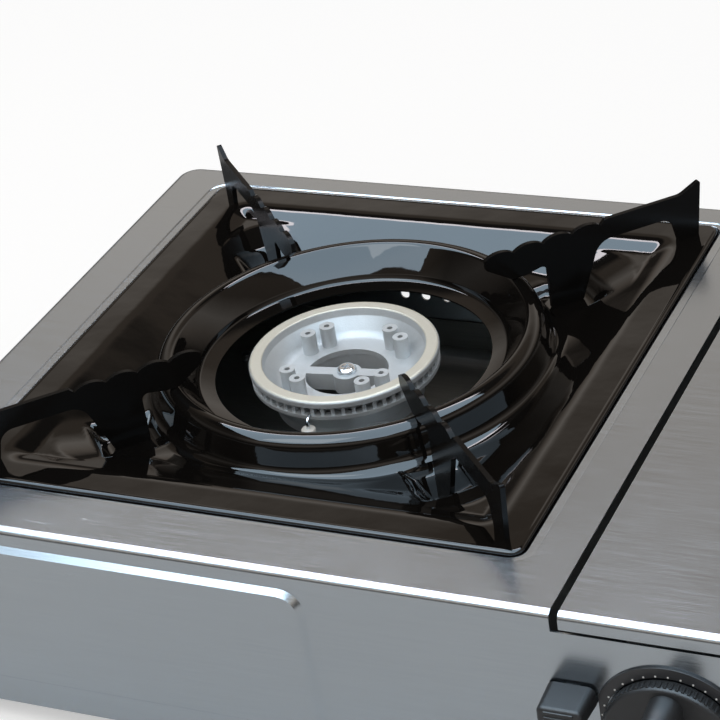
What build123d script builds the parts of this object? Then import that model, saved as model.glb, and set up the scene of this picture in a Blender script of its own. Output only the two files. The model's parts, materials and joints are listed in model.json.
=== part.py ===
"""Portable butane gas stove: pressed steel casing, lift-off drip pan with four pan supports,
cast ring burner, cartridge bay with a hinged lid, ignition knob and cartridge lock lever.

Millimetres. X runs to the right, Y to the rear, Z up from the table. The origin is under
the middle of the whole stove, with the knob counted in its depth.
"""

import os
from math import atan2, cos, degrees, hypot, radians, sin, sqrt

from build123d import *

os.makedirs("parts", exist_ok=True)

# Casing: its width, depth and height follow from the pan, the cartridge and these margins
MARGIN_LEFT = 26.0
MARGIN_FRONT = 27.0
MARGIN_REAR = 16.0
MARGIN_SEAM = 21.2
FOOT_HEIGHT = 9.0
SHEET = 0.7
CASE_CORNER = 9.0
DECK_BEND = 3.0
TRAY_LIP = 14.0
TRAY_FIT = 0.2
PANEL_TOP_DROP = 7.0
PANEL_BOTTOM_RISE = 12.0
PANEL_LEFT_INSET = 16.0
PANEL_RIGHT_OF_PAN = 43.0
PANEL_CORNER = 9.0
PANEL_RAISE = 2.0
PANEL_TAPER = 45.0
VENT_LENGTH = 20.0
VENT_WIDTH = 4.0
VENT_PITCH = 10.0
VENT_COUNT = 5
VENT_ROWS_APART = 90.0
REAR_VENT_COUNT = 9
REAR_VENT_RISE = 42.0

# Recess in the deck, and the drip pan that lies in it
PAN_CORNER = 5.0
PAN_SHEET = 0.8
PAN_CLEARANCE = 0.8
RECESS_SLOPE_X = 4.2
RECESS_SLOPE_Y = 2.4
RECESS_CORNER = 9.0
RECESS_DROP = 4.0
LEDGE_WIDTH = 6.0
RIM_HEIGHT = 5.0
RIM_WIDTH = 5.0
RIM_BEND = 1.6
WALL_ACROSS = 1.25
BOWL_CORNER = 6.0
BOWL_SLOPE = 14.0
PAN_FLOOR_DROP = 15.6

# Raised ring of the drip pan
RING_CREST_HEIGHT = 6.7
TROUGH_WIDTH = 19.6
RING_WALL_LEAN = 1.4
RING_CREST_WIDTH = 5.6
RING_FUNNEL_WIDTH = 7.8
RING_FUNNEL_DROP = 3.5
RING_STEP = 2.4
HOLE_LIP_WIDTH = 7.0
HOLE_AIR_GAP = 16.9
HOLE_DROP = 9.0
RING_FOOT_FILLET = 5.0
RING_FOOT_BEND = 4.5
RING_CREST_BEND = 2.5
RING_FUNNEL_BEND = 1.5

# Pan supports
SUPPORT_SHEET = 1.9
SUPPORT_HEIGHT = 20.2
BEAK_FROM_HOLE = 4.5
SCALLOP_PITCH = 12.4
SCALLOP_COUNT = 4
SCALLOP_DEPTH = 2.0
SUPPORT_END_GAP = 3.2
HORN_LENGTH = 6.5
HORN_HEIGHT = 4.4
HORN_FLARE = 2.5
LEG_FROM_RING = 9.4
SUPPORT_LEG_WIDTH = 13.8
SUPPORT_ARCH_HEIGHT = 11.6
OUTER_LEG_WIDTH = 9.0
OUTER_LEG_LEAN = 1.9
LEG_TOE = 0.8
CUSP_ROUND = 1.2
HORN_ROUND = 6.0
HORN_TIP = 0.9
ARCH_OUTER_ROUND = 6.0
ARCH_INNER_ROUND = 8.0
BEAK_ROUND = 2.0
BEAK_DROP = 4.0
PAD_HEIGHT = 4.0
PAD_LENGTH = 18.0
PAD_WIDTH = 17.0
PAD_SLOPE = 3.0
SEAT_GAP = 0.25

# Burner
BURNER_SHIFT_X = -2.5
BURNER_SHIFT_Y = -1.8
BURNER_RADIUS = 37.1
BURNER_DROP = 1.0
BURNER_TURN = 7.0
RIM_BAND = 3.0
RIM_LAND = 5.1
PORT_COUNT = 56
PORT_WIDTH = 2.6
PORT_HEIGHT = 3.4
PORT_SETBACK = 1.3
PORT_DEPTH = 3.2
BOWL_FLOOR_DROP = 9.6
BOWL_FLOOR_WIDTH = 9.7
CASTING_WALL = 2.4
BOSS_RADIUS = 3.0
BOSS_HOLE = 1.1
BOSS_FROM_EYE = 6.7
BOSS_HALF_ANGLE = 10.5
BOSS_TOP_DROP = 1.0
BAR_WIDTH = 5.0
HUB_RADIUS = 5.6
RIM_EDGE_ROUND = 1.2
RIM_LIP_ROUND = 0.6
BOWL_KNEE = 6.0
BOWL_KNEE_ROUND = 5.0
BOWL_LIP_STEP = 0.8
HEAD_SEAM = 1.0
CUP_TAPER = 7.1
CUP_INSET = 0.4
CUP_LIP_HEIGHT = 1.4
CUP_LIP_WIDTH = 2.0
CUP_LIP_CHAMFER = 1.0
CUP_FIT = 0.6
CORE_FIT = 0.3
SCREW_RADIUS = 2.0
SCREW_HEAD_RADIUS = 3.9
SCREW_HEAD_HEIGHT = 2.3
SCREW_HEAD_ROUND = 1.6
SCREW_FIT = 0.1

# Gas way: regulator, arm, jet and mixing tube
CAN_RADIUS = 34.0
CAN_SIDE_GAP = 7.0
CAN_SEAM_GAP = 3.8
CAN_FLOOR_GAP = 4.3
CAN_HEADROOM = 7.3
ARM_ABOVE_CAN = 11.0
MIX_BORE = 9.4
TUBE_WALL = 1.0
TUBE_FIT = 0.2
SOCKET_WALL = 2.4
SOCKET_SINK = 1.6
SOCKET_FROM_EYE = 0.7
SOCKET_REACH = 14.0
TUBE_INSERT = 12.0
TUBE_MOUTH_GAP = 9.0
TUBE_MOUTH_FLARE = 3.5
ARM_RADIUS = 5.0
ARM_FROM_FRONT = 19.0
ARM_INSIDE_PAN = 6.0
JET_RADIUS = 3.4
JET_LENGTH = 7.0
JET_TIP_RADIUS = 2.4
JET_SEAT = 7.0
JET_BORE = 0.6
BRACKET_PLATE = 2.0
REGULATOR_RADIUS = 20.0
REGULATOR_LENGTH = 22.0
REGULATOR_NECK = 4.0
REGULATOR_NECK_RADIUS = 13.0
SOCKET_RING_RADIUS = 12.0
SOCKET_RING_LENGTH = 4.0
NOZZLE_RADIUS = 4.5
NOZZLE_LENGTH = 6.0
NOZZLE_BORE = 1.4
SEAL_RADIUS = 7.0

# Igniter
ELECTRODE_ANGLE = -86.0
ELECTRODE_REACH = 4.6
CERAMIC_RADIUS = 2.8
CERAMIC_COLLAR = 3.9
CERAMIC_TOP_DROP = 8.4
CERAMIC_LENGTH = 24.0
TIP_RADIUS = 0.7
TIP_RISE = 3.4
TIP_GAP = 1.4
CLIP_SHEET = 1.2
CLIP_WIDTH = 11.0
PIEZO_WIDTH = 13.0
PIEZO_HEIGHT = 17.0
PIEZO_LENGTH = 26.0

# Knob
KNOB_REACH = 18.0
KNOB_RADIUS = 23.0
KNOB_SKIRT = 5.0
KNOB_GAP = 1.0
KNOB_GRIP_WIDTH = 12.0
KNOB_GRIP_INSET = 4.0
KNOB_GRIP_START = 3.0
KNOB_GRIP_TAPER = 4.0
KNOB_EDGE_ROUND = 1.5
STEM_RADIUS = 4.0
STEM_FIT = 0.15
BEZEL_WIDTH = 4.0
BEZEL_SHEET = 1.0
BEZEL_GAP = 0.6

# Cartridge lid
SEAM_WIDTH = 3.0
LID_FLANGE = 6.0
LID_GAP = 1.2
LID_SIDE_DEPTH = 44.0
HINGE_LID_GAP = 0.6
HINGE_INSET = 2.0
HINGE_PIN_RADIUS = 1.1
HINGE_FIT = 0.1
HINGE_EYE_RADIUS = 2.1
HINGE_NECK = 10.0
HINGE_NECK_WIDTH = 3.0
HINGE_PLATE = 2.0
HINGE_SIDE_GAP = 0.4
HINGE_FROM_END = 24.0
PARTITION_INSET = 4.0
PARTITION_FLANGE = 10.0

# Cartridge cradle, lock lever and pusher
CRADLE_FIT = 0.6
CRADLE_HALF_ANGLE = 42.0
CRADLE_FROM_FRONT = 52.0
CRADLE_FROM_REAR = 12.0
LEVER_FROM_PARTITION = 8.8
LEVER_TRAVEL = 14.0
LEVER_ABOVE_CAN = 14.0
LEVER_HANDLE_WIDTH = 17.0
LEVER_HANDLE_HEIGHT = 9.0
LEVER_HANDLE_REACH = 14.0
LEVER_HANDLE_TAPER = 3.0
LEVER_NECK_WIDTH = 5.0
LEVER_NECK_HEIGHT = 7.0
LEVER_PLATE_WIDTH = 11.0
LEVER_PLATE_RISE = 9.0
LEVER_PLATE_FALL = 17.0
LEVER_SHEET = 1.5
LEVER_FIT = 0.3
CAM_LENGTH = 20.0
CAM_BELOW_CAN = 18.0
CAM_HEIGHT = 23.0
CAM_MARGIN = 4.0
PUSHER_TRAVEL = 6.0
PUSHER_SHEET = 1.5
PUSHER_HEIGHT = 14.0
PUSHER_LENGTH = 34.0
PUSHER_FIT = 0.3
PUSHER_PIN_RADIUS = 2.0
PUSHER_PIN_FROM_FRONT = 18.0
FORK_WALL = 2.0
FORK_HEIGHT = 36.0
FORK_HALF_GAP = 18.0
FORK_PRONG = 5.0
KEEPER_LENGTH = 4.0
KEEPER_PITCH = 7.0
KEEPER_FROM_PIN = 10.5
GUIDE_HEIGHT = 30.0
GUIDE_BELOW_CAN = 2.0

# Small hardware
FOOT_RADIUS = 10.0
FOOT_INSET = 30.0
FOOT_TAPER = 6.0
FOOT_BORE_DEPTH = 5.0
FOOT_BORE_GAP = 0.5
FOOT_SCREW_REACH = 4.0

# Places worked out from the sizes
RIM_INNER_RADIUS = BURNER_RADIUS - RIM_LAND
KNEE_RADIUS = RIM_INNER_RADIUS - BOWL_KNEE
EYE_RADIUS = KNEE_RADIUS - BOWL_FLOOR_WIDTH
BOSS_CIRCLE = EYE_RADIUS + BOSS_FROM_EYE
PORT_RING_RADIUS = BURNER_RADIUS - PORT_SETBACK
PORT_RING_INNER = PORT_RING_RADIUS - PORT_DEPTH
CUP_LOWER_RADIUS = BURNER_RADIUS - CUP_TAPER
SOCKET_START = EYE_RADIUS + SOCKET_FROM_EYE
SOCKET_END = CUP_LOWER_RADIUS + SOCKET_REACH
HOLE_RADIUS = BURNER_RADIUS + HOLE_AIR_GAP
RING_FUNNEL_RADIUS = HOLE_RADIUS + HOLE_LIP_WIDTH
RING_OUTER_RADIUS = RING_FUNNEL_RADIUS + RING_FUNNEL_WIDTH + RING_CREST_WIDTH
PAN_SIZE = 2 * (RING_OUTER_RADIUS + TROUGH_WIDTH + BOWL_SLOPE + RIM_WIDTH)
SUPPORT_INNER = HOLE_RADIUS + BEAK_FROM_HOLE
SUPPORT_LEG_INNER = RING_OUTER_RADIUS + LEG_FROM_RING
SUPPORT_OUTER = sqrt(2) * (PAN_SIZE / 2 - RIM_WIDTH) - SUPPORT_END_GAP
BAY_WIDTH = CAN_SEAM_GAP + 2 * CAN_RADIUS + CAN_SIDE_GAP
CASE_WIDTH = MARGIN_LEFT + PAN_SIZE + MARGIN_SEAM + BAY_WIDTH
CASE_DEPTH = MARGIN_FRONT + PAN_SIZE + MARGIN_REAR
LEFT = -CASE_WIDTH / 2
RIGHT = CASE_WIDTH / 2
FRONT = -(CASE_DEPTH + KNOB_REACH) / 2 + KNOB_REACH
REAR = FRONT + CASE_DEPTH
CASE_Y = (FRONT + REAR) / 2
FRONT_INSIDE = FRONT + SHEET
FLOOR_TOP = FOOT_HEIGHT + SHEET
CAN_X = RIGHT - CAN_SIDE_GAP - CAN_RADIUS
CAN_HEIGHT = FLOOR_TOP + CAN_FLOOR_GAP + CAN_RADIUS
DECK_UNDER = CAN_HEIGHT + CAN_RADIUS + CAN_HEADROOM
DECK_HEIGHT = DECK_UNDER + SHEET
PAN_X = LEFT + MARGIN_LEFT + PAN_SIZE / 2
PAN_Y = FRONT + MARGIN_FRONT + PAN_SIZE / 2
LEDGE_Z = DECK_HEIGHT - RECESS_DROP
RIM_TOP = LEDGE_Z + RIM_HEIGHT
PAN_FLOOR = DECK_HEIGHT - PAN_FLOOR_DROP
RING_CREST = DECK_HEIGHT + RING_CREST_HEIGHT
SUPPORT_TOP = DECK_HEIGHT + SUPPORT_HEIGHT
PAD_TOP = PAN_FLOOR + PAD_HEIGHT
BURNER_X = PAN_X + BURNER_SHIFT_X
BURNER_Y = PAN_Y + BURNER_SHIFT_Y
BURNER_TOP = DECK_HEIGHT - BURNER_DROP
PORT_TOP = BURNER_TOP - RIM_BAND
PORT_BOTTOM = PORT_TOP - PORT_HEIGHT
BOWL_FLOOR = BURNER_TOP - BOWL_FLOOR_DROP
HEAD_UNDER = BOWL_FLOOR - CASTING_WALL
MIX_Z = CAN_HEIGHT + ARM_ABOVE_CAN
SOCKET_BORE = MIX_BORE + TUBE_WALL + TUBE_FIT
CUP_BOTTOM = MIX_Z + SOCKET_BORE - SOCKET_SINK
ARM_Y = FRONT + ARM_FROM_FRONT
ARM_END_X = PAN_X + PAN_SIZE / 2 - ARM_INSIDE_PAN
MIX_ANGLE = degrees(atan2(ARM_Y - BURNER_Y, ARM_END_X - BURNER_X))
JET_DISTANCE = hypot(ARM_END_X - BURNER_X, ARM_Y - BURNER_Y)
SEAM_X = RIGHT - BAY_WIDTH
DECK_EDGE = SEAM_X - SEAM_WIDTH / 2
LID_EDGE = SEAM_X + SEAM_WIDTH / 2
HINGE_X = LID_EDGE + HINGE_INSET
HINGE_Z = DECK_UNDER - HINGE_LID_GAP - HINGE_EYE_RADIUS
LID_BOTTOM = DECK_HEIGHT - LID_SIDE_DEPTH
PARTITION_X = DECK_EDGE - PARTITION_INSET
BAY_X = PARTITION_X + SHEET
LEVER_X = BAY_X + LEVER_FROM_PARTITION
LEVER_TOP = CAN_HEIGHT + LEVER_ABOVE_CAN
CAM_BOTTOM = CAN_HEIGHT - CAM_BELOW_CAN
GUIDE_BOTTOM = CAN_HEIGHT - GUIDE_BELOW_CAN
VALVE_Y = FRONT_INSIDE + BRACKET_PLATE
REGULATOR_FRONT = VALVE_Y + REGULATOR_NECK
REGULATOR_REAR = REGULATOR_FRONT + REGULATOR_LENGTH
TRAY_INSIDE = SHEET + TRAY_FIT + SHEET
OVER = 5.0


def pan_plane(z):
    """Level plane at height z, centred on the drip pan."""
    return Plane(origin=(PAN_X, PAN_Y, z))


def burner_plane(z, angle=BURNER_TURN):
    """Level plane at height z, centred on the burner and turned about its axis."""
    return Plane(origin=(BURNER_X, BURNER_Y, z), x_dir=(cos(radians(angle)), sin(radians(angle)), 0))


def upright_plane(x, y, angle):
    """Upright plane through (x, y) whose x axis points along angle and whose y axis is up."""
    a = radians(angle)
    return Plane(origin=(x, y, 0), x_dir=(cos(a), sin(a), 0), z_dir=(sin(a), -cos(a), 0))


def front_plane(y):
    """Upright plane across the stove at depth y, facing the front."""
    return Plane(origin=(0, y, 0), x_dir=(1, 0, 0), z_dir=(0, -1, 0))


def side_plane(x):
    """Upright plane along the stove at x, facing right: its x axis runs to the rear."""
    return Plane(origin=(x, 0, 0), x_dir=(0, 1, 0), z_dir=(1, 0, 0))


def finish(builder, name):
    """Labels a finished piece and writes it."""
    builder.part.label = name
    export_step(builder.part, f"parts/{name}.step")


# Full outer shell of the casing, from which the top case and the lid are both taken
with BuildPart() as shell:
    with BuildSketch(Plane(origin=(0, CASE_Y, FOOT_HEIGHT))):
        RectangleRounded(CASE_WIDTH, CASE_DEPTH, CASE_CORNER)
    extrude(amount=DECK_HEIGHT - FOOT_HEIGHT)
    fillet(shell.faces().sort_by(Axis.Z)[-1].edges(), DECK_BEND)
    offset(amount=-SHEET, openings=shell.faces().sort_by(Axis.Z)[0])


def lid_region(edge, gap):
    """Front view of the space that the lid takes, grown by a gap, with its flanges as legs."""
    inner = LID_FLANGE + gap
    Polyline(
        (edge, DECK_HEIGHT + OVER),
        (RIGHT + OVER, DECK_HEIGHT + OVER),
        (RIGHT + OVER, LID_BOTTOM - gap),
        (RIGHT - inner, LID_BOTTOM - gap),
        (RIGHT - inner, DECK_HEIGHT - inner),
        (edge, DECK_HEIGHT - inner),
        close=True,
    )


# Top case: deck with the pan recess, left, front and rear walls, and the low right wall
with BuildPart() as top_case:
    add(shell.part)
    with BuildSketch(front_plane(REAR + OVER)):
        with BuildLine():
            lid_region(DECK_EDGE, LID_GAP)
        make_face()
    extrude(amount=CASE_DEPTH + 2 * OVER, mode=Mode.SUBTRACT)
    pan_bed = PAN_SIZE + 2 * PAN_CLEARANCE
    with BuildSketch(pan_plane(DECK_HEIGHT)):
        RectangleRounded(
            pan_bed + 2 * RECESS_SLOPE_X + 2 * SHEET,
            pan_bed + 2 * RECESS_SLOPE_Y + 2 * SHEET,
            RECESS_CORNER + SHEET,
        )
    with BuildSketch(pan_plane(LEDGE_Z - SHEET)):
        RectangleRounded(pan_bed + 2 * SHEET, pan_bed + 2 * SHEET, PAN_CORNER + PAN_CLEARANCE + SHEET)
    loft(ruled=True)
    with BuildSketch(pan_plane(DECK_HEIGHT)):
        RectangleRounded(pan_bed + 2 * RECESS_SLOPE_X, pan_bed + 2 * RECESS_SLOPE_Y, RECESS_CORNER)
    with BuildSketch(pan_plane(LEDGE_Z)):
        RectangleRounded(pan_bed, pan_bed, PAN_CORNER + PAN_CLEARANCE)
    loft(ruled=True, mode=Mode.SUBTRACT)
    with BuildSketch(pan_plane(LEDGE_Z - SHEET)):
        RectangleRounded(PAN_SIZE - 2 * LEDGE_WIDTH, PAN_SIZE - 2 * LEDGE_WIDTH, RECESS_CORNER)
    extrude(amount=SHEET, mode=Mode.SUBTRACT)
    panel_left = LEFT + PANEL_LEFT_INSET
    panel_right = PAN_X + PANEL_RIGHT_OF_PAN
    panel_top = DECK_HEIGHT - PANEL_TOP_DROP
    panel_bottom = FOOT_HEIGHT + PANEL_BOTTOM_RISE
    panel_middle = ((panel_left + panel_right) / 2, (panel_top + panel_bottom) / 2)
    with BuildSketch(front_plane(FRONT)):
        with Locations(panel_middle):
            RectangleRounded(panel_right - panel_left, panel_top - panel_bottom, PANEL_CORNER)
    extrude(amount=PANEL_RAISE, taper=PANEL_TAPER)
    with BuildSketch(front_plane(FRONT_INSIDE)):
        with Locations(panel_middle):
            RectangleRounded(
                panel_right - panel_left - SHEET, panel_top - panel_bottom - SHEET, PANEL_CORNER
            )
    extrude(amount=PANEL_RAISE, taper=PANEL_TAPER, mode=Mode.SUBTRACT)
    with BuildSketch(front_plane(FRONT_INSIDE)):
        with Locations((CAN_X, CAN_HEIGHT)):
            Circle(STEM_RADIUS + 2 * BEZEL_GAP)
        slot_height = LEVER_NECK_HEIGHT + LEVER_TRAVEL + 2 * LEVER_FIT
        with Locations((LEVER_X, LEVER_TOP + LEVER_FIT - slot_height / 2)):
            Rectangle(LEVER_NECK_WIDTH + 2 * LEVER_FIT, slot_height)
    extrude(amount=SHEET, mode=Mode.SUBTRACT)
    with BuildSketch(front_plane(REAR)):
        with Locations((PAN_X, REAR_VENT_RISE)):
            with GridLocations(VENT_PITCH, 1, REAR_VENT_COUNT, 1):
                SlotOverall(VENT_LENGTH, VENT_WIDTH, rotation=90)
    extrude(amount=SHEET, mode=Mode.SUBTRACT)
finish(top_case, "top_case")

# Base tray: floor with an upturned lip inside the casing walls, and air slots
with BuildPart() as base_tray:
    tray_width = CASE_WIDTH - 2 * (SHEET + TRAY_FIT)
    tray_depth = CASE_DEPTH - 2 * (SHEET + TRAY_FIT)
    tray_corner = CASE_CORNER - SHEET - TRAY_FIT
    with BuildSketch(Plane(origin=(0, CASE_Y, FOOT_HEIGHT))):
        RectangleRounded(tray_width, tray_depth, tray_corner)
    extrude(amount=TRAY_LIP)
    with BuildSketch(Plane(origin=(0, CASE_Y, FLOOR_TOP))):
        RectangleRounded(tray_width - 2 * SHEET, tray_depth - 2 * SHEET, tray_corner - SHEET)
    extrude(amount=TRAY_LIP, mode=Mode.SUBTRACT)
    with BuildSketch(Plane(origin=(PAN_X, PAN_Y, FOOT_HEIGHT))):
        with GridLocations(VENT_ROWS_APART, VENT_PITCH, 2, VENT_COUNT):
            SlotOverall(VENT_LENGTH, VENT_WIDTH)
    extrude(amount=SHEET, mode=Mode.SUBTRACT)
    with BuildSketch(Plane(origin=(0, CASE_Y, FOOT_HEIGHT))):
        with GridLocations(CASE_WIDTH - 2 * FOOT_INSET, CASE_DEPTH - 2 * FOOT_INSET, 2, 2):
            Circle(SCREW_RADIUS + SCREW_FIT)
    extrude(amount=SHEET, mode=Mode.SUBTRACT)
finish(base_tray, "base_tray")

# Rubber feet under the tray, each with a stepped bore for its screw
with BuildPart() as rubber_feet:
    foot_centres = GridLocations(CASE_WIDTH - 2 * FOOT_INSET, CASE_DEPTH - 2 * FOOT_INSET, 2, 2)
    with BuildSketch(Plane(origin=(0, CASE_Y, FOOT_HEIGHT), z_dir=(0, 0, -1))):
        with foot_centres:
            Circle(FOOT_RADIUS)
    extrude(amount=FOOT_HEIGHT, taper=FOOT_TAPER)
    with BuildSketch(Plane(origin=(0, CASE_Y, 0))):
        with foot_centres:
            Circle(SCREW_RADIUS + SCREW_FIT)
    extrude(amount=FOOT_HEIGHT, mode=Mode.SUBTRACT)
    with BuildSketch(Plane(origin=(0, CASE_Y, 0))):
        with foot_centres:
            Circle(SCREW_HEAD_RADIUS + FOOT_BORE_GAP)
    extrude(amount=FOOT_BORE_DEPTH, mode=Mode.SUBTRACT)
finish(rubber_feet, "rubber_feet")

# Screws that hold the feet, heads up inside the stepped bores
with BuildPart() as foot_screws:
    with BuildSketch(Plane(origin=(0, CASE_Y, FOOT_BORE_DEPTH - SCREW_HEAD_HEIGHT))):
        with foot_centres:
            Circle(SCREW_HEAD_RADIUS)
    extrude(amount=SCREW_HEAD_HEIGHT)
    with BuildSketch(Plane(origin=(0, CASE_Y, FOOT_BORE_DEPTH))):
        with foot_centres:
            Circle(SCREW_RADIUS)
    extrude(amount=FOOT_HEIGHT - FOOT_BORE_DEPTH + FOOT_SCREW_REACH)
finish(foot_screws, "foot_screws")

# Partition between the burner space and the cartridge bay, with a foot flange
with BuildPart() as partition:
    partition_depth = CASE_DEPTH - 2 * TRAY_INSIDE
    with BuildSketch(front_plane(REAR - TRAY_INSIDE)):
        with BuildLine():
            Polyline(
                (BAY_X, FLOOR_TOP),
                (BAY_X, DECK_UNDER),
                (PARTITION_X, DECK_UNDER),
                (PARTITION_X, FLOOR_TOP + SHEET),
                (PARTITION_X - PARTITION_FLANGE, FLOOR_TOP + SHEET),
                (PARTITION_X - PARTITION_FLANGE, FLOOR_TOP),
                close=True,
            )
        make_face()
    extrude(amount=partition_depth)
    top_ends = partition.edges().filter_by(Axis.X).group_by(Axis.Z)[-1]
    chamfer(top_ends, DECK_BEND)
    with BuildSketch(side_plane(PARTITION_X)):
        with Locations((ARM_Y, MIX_Z)):
            Circle(ARM_RADIUS + SHEET)
    extrude(amount=SHEET, mode=Mode.SUBTRACT)
finish(partition, "partition")


def bowl_section(inset, corner):
    """One level section of the pan's bowl, set in from the pan's outer edge."""
    RectangleRounded(PAN_SIZE - 2 * inset, PAN_SIZE - 2 * inset, corner)


# Drip pan: hollow rim, sloped bowl, four pads and the raised ring round the burner
with BuildPart() as drip_pan:
    wall_across = PAN_SHEET * WALL_ACROSS
    with BuildSketch(pan_plane(LEDGE_Z)):
        bowl_section(0, PAN_CORNER)
    extrude(amount=RIM_HEIGHT)
    fillet(drip_pan.faces().sort_by(Axis.Z)[-1].edges(), RIM_BEND)
    with BuildSketch(pan_plane(LEDGE_Z)):
        bowl_section(PAN_SHEET, PAN_CORNER - PAN_SHEET)
    extrude(amount=RIM_HEIGHT - PAN_SHEET, mode=Mode.SUBTRACT)
    with BuildSketch(pan_plane(RIM_TOP)):
        bowl_section(RIM_WIDTH - wall_across, BOWL_CORNER + wall_across)
    with BuildSketch(pan_plane(PAN_FLOOR - PAN_SHEET)):
        bowl_section(RIM_WIDTH + BOWL_SLOPE - wall_across, BOWL_CORNER + wall_across)
    loft(ruled=True)
    with BuildSketch(pan_plane(RIM_TOP)):
        bowl_section(RIM_WIDTH, BOWL_CORNER)
    with BuildSketch(pan_plane(PAN_FLOOR)):
        bowl_section(RIM_WIDTH + BOWL_SLOPE, BOWL_CORNER)
    loft(ruled=True, mode=Mode.SUBTRACT)
    pad_middle = SUPPORT_LEG_INNER + SUPPORT_LEG_WIDTH / 2
    for quarter in range(4):
        direction = radians(45 + 90 * quarter)
        along = (cos(direction), sin(direction), 0)
        pad_x = PAN_X + pad_middle * along[0]
        pad_y = PAN_Y + pad_middle * along[1]
        for level, mode in ((0, Mode.ADD), (-PAN_SHEET, Mode.SUBTRACT)):
            with BuildSketch(Plane(origin=(pad_x, pad_y, PAN_FLOOR + level), x_dir=along)):
                RectangleRounded(
                    PAD_LENGTH + 2 * PAD_SLOPE + level, PAD_WIDTH + 2 * PAD_SLOPE + level, 2 * PAD_SLOPE
                )
            with BuildSketch(Plane(origin=(pad_x, pad_y, PAD_TOP + level), x_dir=along)):
                RectangleRounded(PAD_LENGTH + level, PAD_WIDTH + level, 2 * PAD_SLOPE)
            loft(ruled=True, mode=mode)
    ring_foot = RING_OUTER_RADIUS + RING_WALL_LEAN
    with BuildSketch(pan_plane(PAN_FLOOR - PAN_SHEET)):
        Circle(ring_foot + RING_FOOT_FILLET)
    extrude(amount=PAD_HEIGHT + 2 * PAN_SHEET, mode=Mode.SUBTRACT)
    funnel_z = DECK_HEIGHT - RING_FUNNEL_DROP
    with BuildSketch(upright_plane(PAN_X, PAN_Y, 0)):
        with BuildLine():
            FilletPolyline(
                (ring_foot + RING_FOOT_FILLET, PAN_FLOOR),
                (ring_foot, PAN_FLOOR),
                (RING_OUTER_RADIUS, RING_CREST),
                (RING_OUTER_RADIUS - RING_CREST_WIDTH, RING_CREST),
                (RING_FUNNEL_RADIUS, funnel_z),
                (RING_FUNNEL_RADIUS - PAN_SHEET, funnel_z - RING_STEP),
                (HOLE_RADIUS, DECK_HEIGHT - HOLE_DROP),
                radius=[
                    RING_FOOT_BEND,
                    RING_CREST_BEND,
                    RING_CREST_BEND,
                    RING_FUNNEL_BEND,
                    RING_FUNNEL_BEND,
                ],
            )
            offset(amount=PAN_SHEET, side=Side.LEFT)
        make_face()
    revolve(axis=Axis((PAN_X, PAN_Y, 0), (0, 0, 1)))
finish(drip_pan, "drip_pan")


def bowl_height(r):
    """Height of the pan's sloped corner at distance r from the middle, along a diagonal."""
    inset = PAN_SIZE / 2 - BOWL_CORNER - (r - BOWL_CORNER) / sqrt(2)
    return RIM_TOP - (inset - RIM_WIDTH) * (RIM_TOP - PAN_FLOOR) / BOWL_SLOPE + SEAT_GAP * sqrt(2)


def pan_support(angle):
    """One upright plate on a diagonal: scalloped top, beak over the ring, horn, two legs."""
    cusp = SUPPORT_TOP - SCALLOP_DEPTH
    scallop_end = SUPPORT_INNER + SCALLOP_COUNT * SCALLOP_PITCH
    leg_outer = SUPPORT_LEG_INNER + SUPPORT_LEG_WIDTH
    arch = DECK_HEIGHT + SUPPORT_ARCH_HEIGHT
    over_crest = RING_CREST + SEAT_GAP
    outer_leg = SUPPORT_OUTER - OUTER_LEG_WIDTH
    with BuildPart() as plate:
        with BuildSketch(upright_plane(PAN_X, PAN_Y, angle)):
            with BuildLine():
                for i in range(SCALLOP_COUNT):
                    r = SUPPORT_INNER + i * SCALLOP_PITCH
                    ThreePointArc(
                        (r, cusp), (r + SCALLOP_PITCH / 2, SUPPORT_TOP), (r + SCALLOP_PITCH, cusp)
                    )
                FilletPolyline(
                    (scallop_end, cusp),
                    (scallop_end + SCALLOP_DEPTH, SUPPORT_TOP),
                    (SUPPORT_OUTER - HORN_LENGTH, SUPPORT_TOP),
                    (SUPPORT_OUTER + HORN_FLARE, SUPPORT_TOP + HORN_HEIGHT),
                    (SUPPORT_OUTER, bowl_height(SUPPORT_OUTER)),
                    (outer_leg, bowl_height(outer_leg)),
                    (outer_leg - OUTER_LEG_LEAN, arch),
                    (leg_outer + OUTER_LEG_WIDTH, arch),
                    (leg_outer, PAD_TOP),
                    (SUPPORT_LEG_INNER, PAD_TOP),
                    (SUPPORT_LEG_INNER, over_crest + SCALLOP_DEPTH),
                    (RING_OUTER_RADIUS, over_crest),
                    (RING_OUTER_RADIUS - RING_CREST_WIDTH, over_crest),
                    (SUPPORT_INNER, cusp - BEAK_DROP),
                    (SUPPORT_INNER, cusp),
                    radius=[
                        CUSP_ROUND,
                        HORN_ROUND,
                        HORN_TIP,
                        LEG_TOE,
                        LEG_TOE,
                        ARCH_OUTER_ROUND,
                        ARCH_INNER_ROUND,
                        LEG_TOE,
                        LEG_TOE,
                        RING_CREST_BEND,
                        BEAK_ROUND,
                        BEAK_ROUND,
                        BEAK_ROUND / 2,
                    ],
                )
            make_face()
        extrude(amount=SUPPORT_SHEET / 2, both=True)
    return plate


for support_name, support_angle in (
    ("rear_right", 45),
    ("rear_left", 135),
    ("front_left", 225),
    ("front_right", 315),
):
    finish(pan_support(support_angle), f"pan_support_{support_name}")

burner_axis = Axis((BURNER_X, BURNER_Y, 0), (0, 0, 1))

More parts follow.
